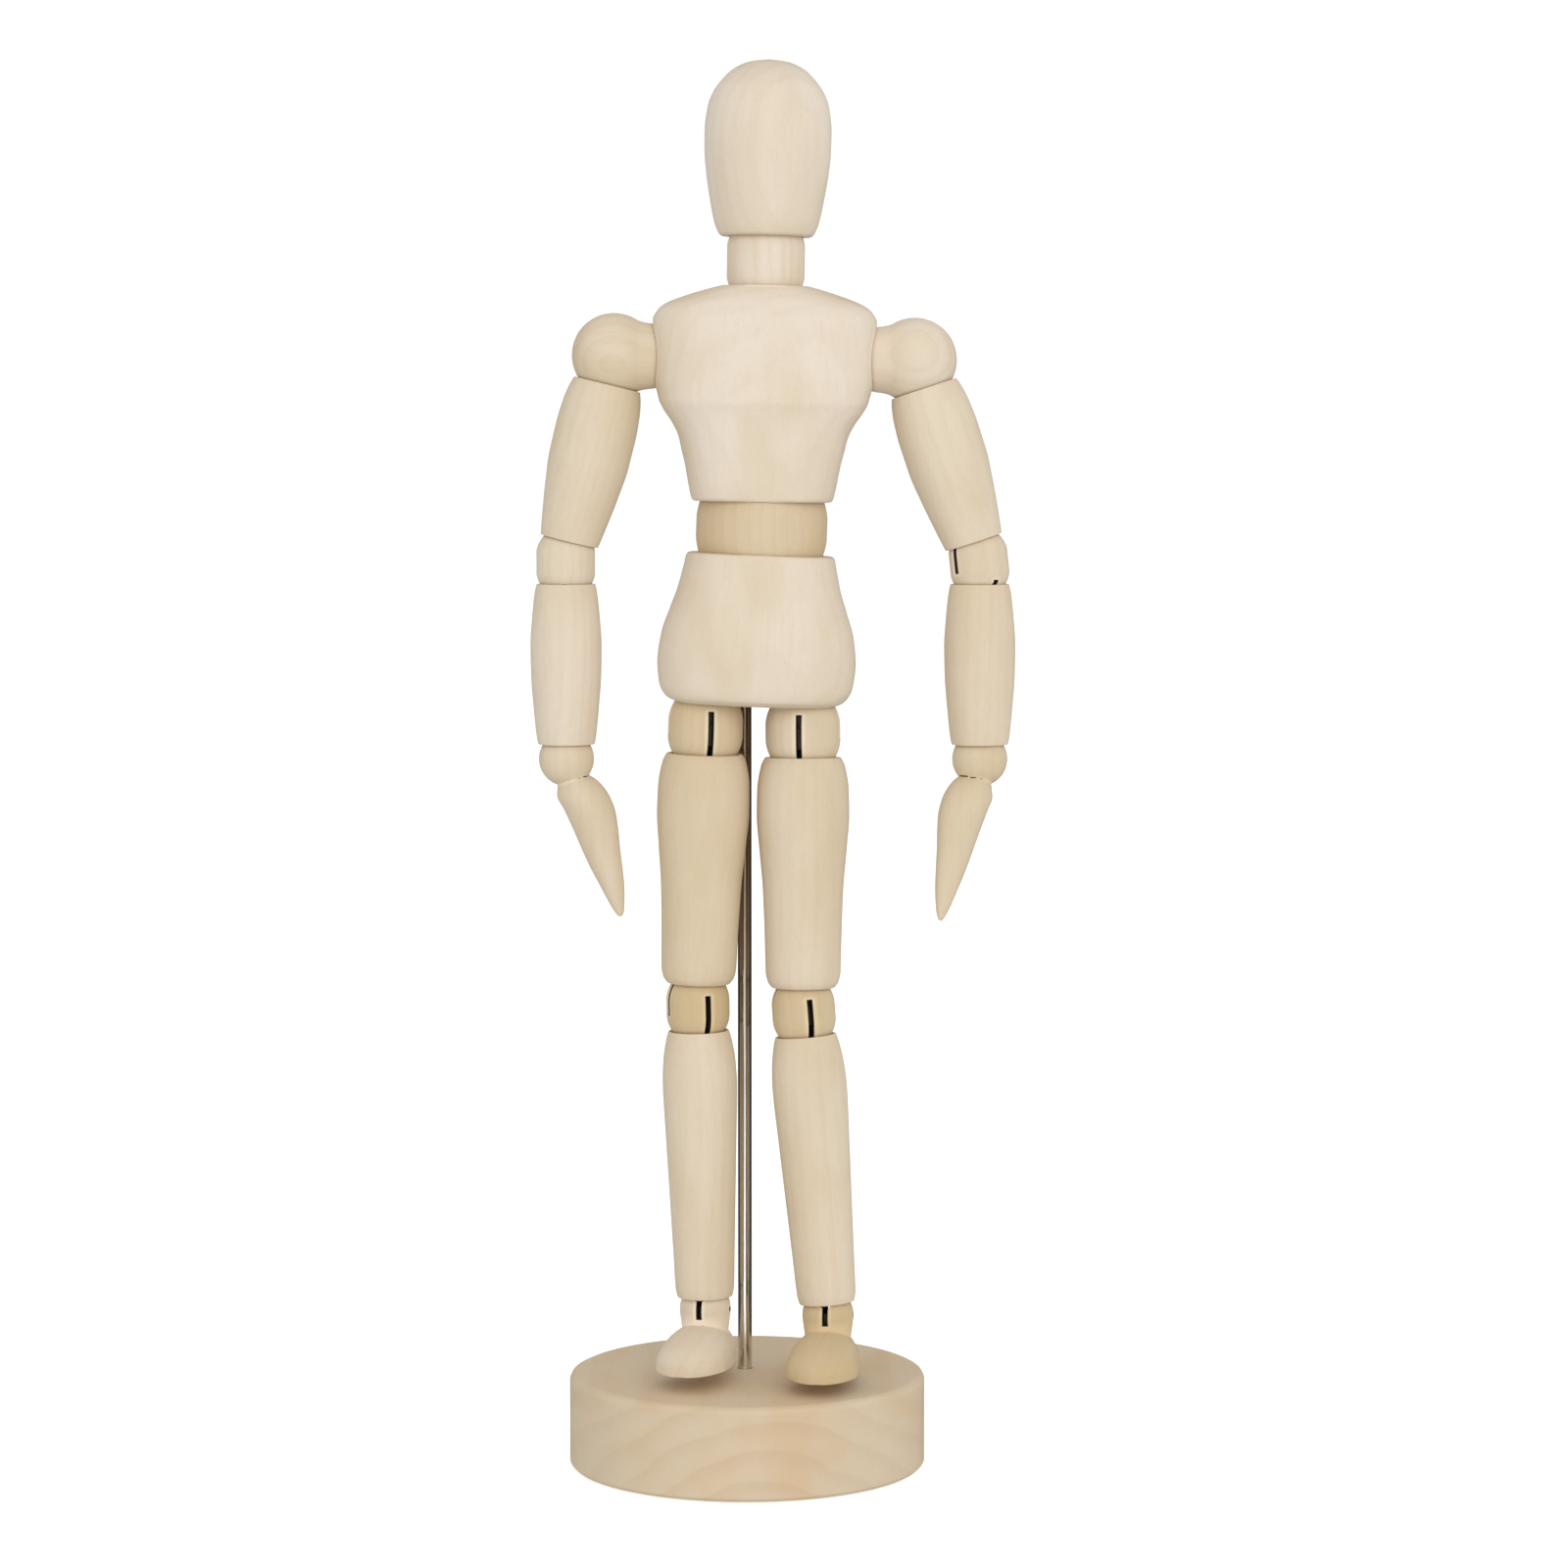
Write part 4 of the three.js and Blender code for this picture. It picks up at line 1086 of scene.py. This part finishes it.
def between(start, end):
    """A place at `start` whose Z points to `end`, and the distance in millimetres"""
    return basis(start, x=Vector((1, 0, 0)), z=end - start), (end - start).length / MM


def bends(place, lower, upper):
    """Heights on a spring of the two joints it passes, and halfway between them"""
    low, high = [(place.inverted() @ pivot(joint)).z / MM for joint in (lower, upper)]
    return low, (low + high) / 2, high


def add_trunk_springs(places):
    pelvis, chest, head = places["pelvis"], places["chest"], places["head"]
    pelvis_pin = pelvis @ Vector((0, 0, PELVIS["pin"] * MM))
    cross = chest @ Vector((0, 0, CHEST["shoulder"] * MM))
    head_pin = head @ Vector((0, 0, HEAD["pin"] * MM))
    saddle_clear = SADDLE_ROOM + COIL_CLEAR
    eye_clear = EYE_ROOM + COIL_CLEAR

    place, length = between(pelvis_pin, cross)
    low, middle, high = bends(place, "waist_bend", "waist_lean")
    above = high + 9
    spans = [
        (-FAR, middle, "pelvis", "waist_barrel", (low - 7, middle)),
        (middle, above, "waist_barrel", "waist_spring", (middle, high + 7)),
        (above, FAR, "waist_spring", "chest", (above, length - saddle_clear)),
    ]
    saddle = end_of(length, length - saddle_clear, "x", SADDLE_RADIUS, -SADDLE_SHIFT)
    add_spring("waist_spring", place, end_of(0, eye_clear, "x"), saddle, spans)

    place, length = between(cross, head_pin)
    low, middle, high = bends(place, "neck_nod", "neck_tilt")
    above = high + 4
    spans = [
        (-FAR, middle, "chest", "neck_barrel", (low - 5, middle)),
        (middle, above, "neck_barrel", "neck_spring", (middle, above)),
        (above, FAR, "neck_spring", "head", (above, length - eye_clear)),
    ]
    saddle = end_of(0, saddle_clear, "x", SADDLE_RADIUS, SADDLE_SHIFT)
    add_spring("neck_spring", place, saddle, end_of(length, length - eye_clear, "y"), spans)

    far = CHEST["spread"] - SHOULDER["inner"] - COIL_CLEAR
    ends = [end_of(way * CHEST["spread"], way * far, "y", offset=SHOULDER["shift"])
            for way in (-1, 1)]
    place = moved(chest, 0, 0, CHEST["shoulder"]) @ spin(90, "Y")
    spans = [
        (-FAR, 0, "right_shoulder_ball", "chest", (-far, -4)),
        (0, FAR, "chest", "left_shoulder_ball", (4, far)),
    ]
    add_spring("shoulder_spring", place, *ends, spans)


# ---- The limbs ----
def add_ball(side, joint, rock, swing, swing_sign, seed):
    shape = BALLS[joint]
    node = f"{side}_{joint}_ball"
    rock, swing = f"{side}_{joint}_{rock}", f"{side}_{joint}_{swing}"
    high, low = pivot(rock), pivot(swing)
    place = basis((high + low) / 2, x=axis_of(swing, swing_sign), z=high - low)
    wooden(node, hinge_ball(f"{node}_wood", **shape), place, seed)
    reach = PIN["reach"] * shape["side"]
    add_pin(f"{side}_{joint}_upper_pin", high, axis_of(rock), reach)
    add_pin(f"{side}_{joint}_lower_pin", low, axis_of(swing), reach)


def angle_about(place, direction):
    """How far a direction is turned from the place's X axis, about its Z axis, in degrees"""
    local = place.to_3x3().inverted() @ Vector(direction)
    return math.degrees(math.atan2(local.y, local.x))


def eye_on(place, joint, z, coil, offset=0.0):
    """A spring's end whose eye goes round the pin of a joint"""
    return end_of(z, coil, "x", offset=offset, turn=angle_about(place, axis_of(joint)))


def add_long(side, kind, way, above, below, seed, offset=0.0):
    node = f"{side}_{kind}"
    above, below = f"{side}_{above}", f"{side}_{below}"
    shape = LONG[kind]
    place = basis(pivot(above), x=Vector((1, 0, 0)), z=axis_of(f"{node}_twist", way))
    wooden(node, long_piece(f"{node}_wood", **shape), place, seed)
    reach = shape["top"][1] + shape["length"] + shape["bottom"][1]
    top_coil = -shape["top"][0] - COIL_CLEAR
    low_coil = -reach + shape["bottom"][0] + COIL_CLEAR
    low = eye_on(place, below, -reach, low_coil)
    high = eye_on(place, above, 0, top_coil, offset)
    bend = (top_coil - 2, low_coil + 2)
    add_spring(f"{node}_spring", place, low, high, [(-FAR, FAR, f"{node}_spring", node, bend)])


def add_arm(side, way, seed):
    ball = f"{side}_shoulder_ball"
    place = basis(pivot(f"{side}_shoulder_swing"), x=axis_of(f"{side}_shoulder_swing", -1),
                  y=axis_of(f"{side}_shoulder_raise", -way))
    wooden(ball, shoulder_ball(f"{ball}_wood", way), place, seed, fibre="x")
    add_pin(f"{side}_shoulder_pin", pivot(f"{side}_shoulder_raise"),
            axis_of(f"{side}_shoulder_raise"), PIN["reach"] * SHOULDER["dome"])
    add_long(side, "upper_arm", way, "shoulder_raise", "elbow_tilt", seed + 1,
             SHOULDER["shift"] * way)
    add_ball(side, "elbow", "tilt", "bend", -1, seed + 2)
    add_long(side, "forearm", way, "elbow_bend", "wrist_bend", seed + 3)
    wrist = f"{side}_wrist_bend"
    place = basis(pivot(wrist), x=axis_of(wrist, -1), z=axis_of(f"{side}_forearm_twist", way))
    wooden(f"{side}_hand", hand_piece(f"{side}_hand_wood", way), place, seed + 4)
    add_pin(f"{side}_wrist_pin", pivot(wrist), axis_of(wrist), PIN["reach"] * WRIST_DOME)


def add_leg(side, way, pelvis, seed):
    add_ball(side, "hip", "tilt", "swing", -1, seed)
    add_long(side, "thigh", way, "hip_swing", "knee_tilt", seed + 1)
    add_ball(side, "knee", "tilt", "bend", 1, seed + 2)
    add_long(side, "shin", way, "knee_bend", "ankle_bend", seed + 3)
    ankle = f"{side}_ankle_bend"
    place = basis(pivot(ankle), x=axis_of(ankle, -1), z=Vector((0, 0, 1)))
    wooden(f"{side}_foot", foot_piece(f"{side}_foot_wood"), place, seed + 4, fibre="y")
    add_pin(f"{side}_ankle_pin", pivot(ankle), axis_of(ankle), PIN["reach"] * ANKLE_DOME)

    at = moved(pelvis, way * PELVIS["spread"], 0, 0)
    ball_pin = -LONG["thigh"]["top"][1]
    low = eye_on(at, f"{side}_hip_tilt", ball_pin, ball_pin + BALLS["hip"]["dome"] + COIL_CLEAR)
    high = end_of(PELVIS["pin"], PELVIS["pin"] - EYE_ROOM - COIL_CLEAR, "x")
    add_stiff_spring(f"{side}_hip_spring", at, low, high)


# ---- The studio ----
def add_floor():
    bpy.ops.mesh.primitive_plane_add(size=8, location=(0, 2.0, -0.0002))
    floor = bpy.context.object
    floor.name = "studio_floor"
    material, _, shader = nodes_of("studio_floor")
    set_inputs(shader, {
        "Base Color": (0.82, 0.82, 0.82, 1), "Roughness": 0.9, "Specular IOR Level": 0.1,
        "Emission Color": (1, 1, 1, 1), "Emission Strength": 0.5,
    })
    floor.data.materials.append(material)
    floor.visible_diffuse = False
    floor.visible_glossy = False


def add_front_light():
    light = bpy.data.lights.new("front", "AREA")
    light.shape = "RECTANGLE"
    light.size, light.size_y = 1.2, 0.9
    light.energy = 6.5
    light.color = (1.0, 0.99, 0.975)
    lamp = bpy.data.objects.new("front", light)
    lamp.location = (0.4, -1.4, 0.7)
    towards = Vector((0, 0, 0.15)) - lamp.location
    lamp.rotation_euler = towards.to_track_quat("-Z", "Y").to_euler()
    bpy.context.scene.collection.objects.link(lamp)


def add_world():
    """Pale surroundings that are brightest at eye level. What shines sees a bright screen in dark
    surroundings instead, and the camera sees white."""
    world = bpy.data.worlds.new("studio")
    bpy.context.scene.world = world
    world.use_nodes = True
    tree = world.node_tree
    tree.nodes.clear()
    g = Graph(tree)
    path = g.node("ShaderNodeLightPath")
    across, deep, up = g.split(g.node("ShaderNodeTexCoord").outputs["Generated"])

    def background(strength):
        node = g.node("ShaderNodeBackground")
        node.inputs["Color"].default_value = (1, 1, 1, 1)
        g.feed(node.inputs["Strength"], strength)
        return node.outputs[0]

    def choose(switch, without, with_it):
        node = g.node("ShaderNodeMixShader")
        for socket, value in zip(node.inputs, (path.outputs[switch], without, with_it)):
            tree.links.new(value, socket)
        return node.outputs[0]

    soft = g.math("MULTIPLY_ADD", g.math("ABSOLUTE", up), -0.2, 0.93)
    screen = g.times(g.spread(across, -0.9, -0.7), g.spread(across, 0.35, 0.15))
    screen = g.times(screen, g.spread(deep, 0.1, -0.2))
    lit = choose("Is Glossy Ray", background(soft),
                 background(g.math("MULTIPLY_ADD", screen, 1.6, 0.08)))
    output = g.node("ShaderNodeOutputWorld")
    tree.links.new(choose("Is Camera Ray", lit, background(1.05)), output.inputs[0])
    bpy.context.scene.view_settings.view_transform = "Standard"


def add_camera():
    camera = bpy.data.cameras.new("camera")
    camera.lens = 100.8
    camera.sensor_width = 36.0
    camera.clip_end = 20.0
    view = bpy.data.objects.new("camera", camera)
    view.location = (0.008, -0.942, 0.2203)
    view.rotation_euler = (math.radians(90 - 4.4), 0, 0)
    bpy.context.scene.collection.objects.link(view)
    bpy.context.scene.camera = view


add_camera()
add_floor()
add_front_light()
add_world()
add_stand()
PLACES = trunk_places()
add_trunk(PLACES)
add_trunk_springs(PLACES)
for limb_side, limb_way in (("right", -1), ("left", 1)):
    add_arm(limb_side, limb_way, 30 if limb_way < 0 else 40)
    add_leg(limb_side, limb_way, PLACES["pelvis"], 50 if limb_way < 0 else 60)
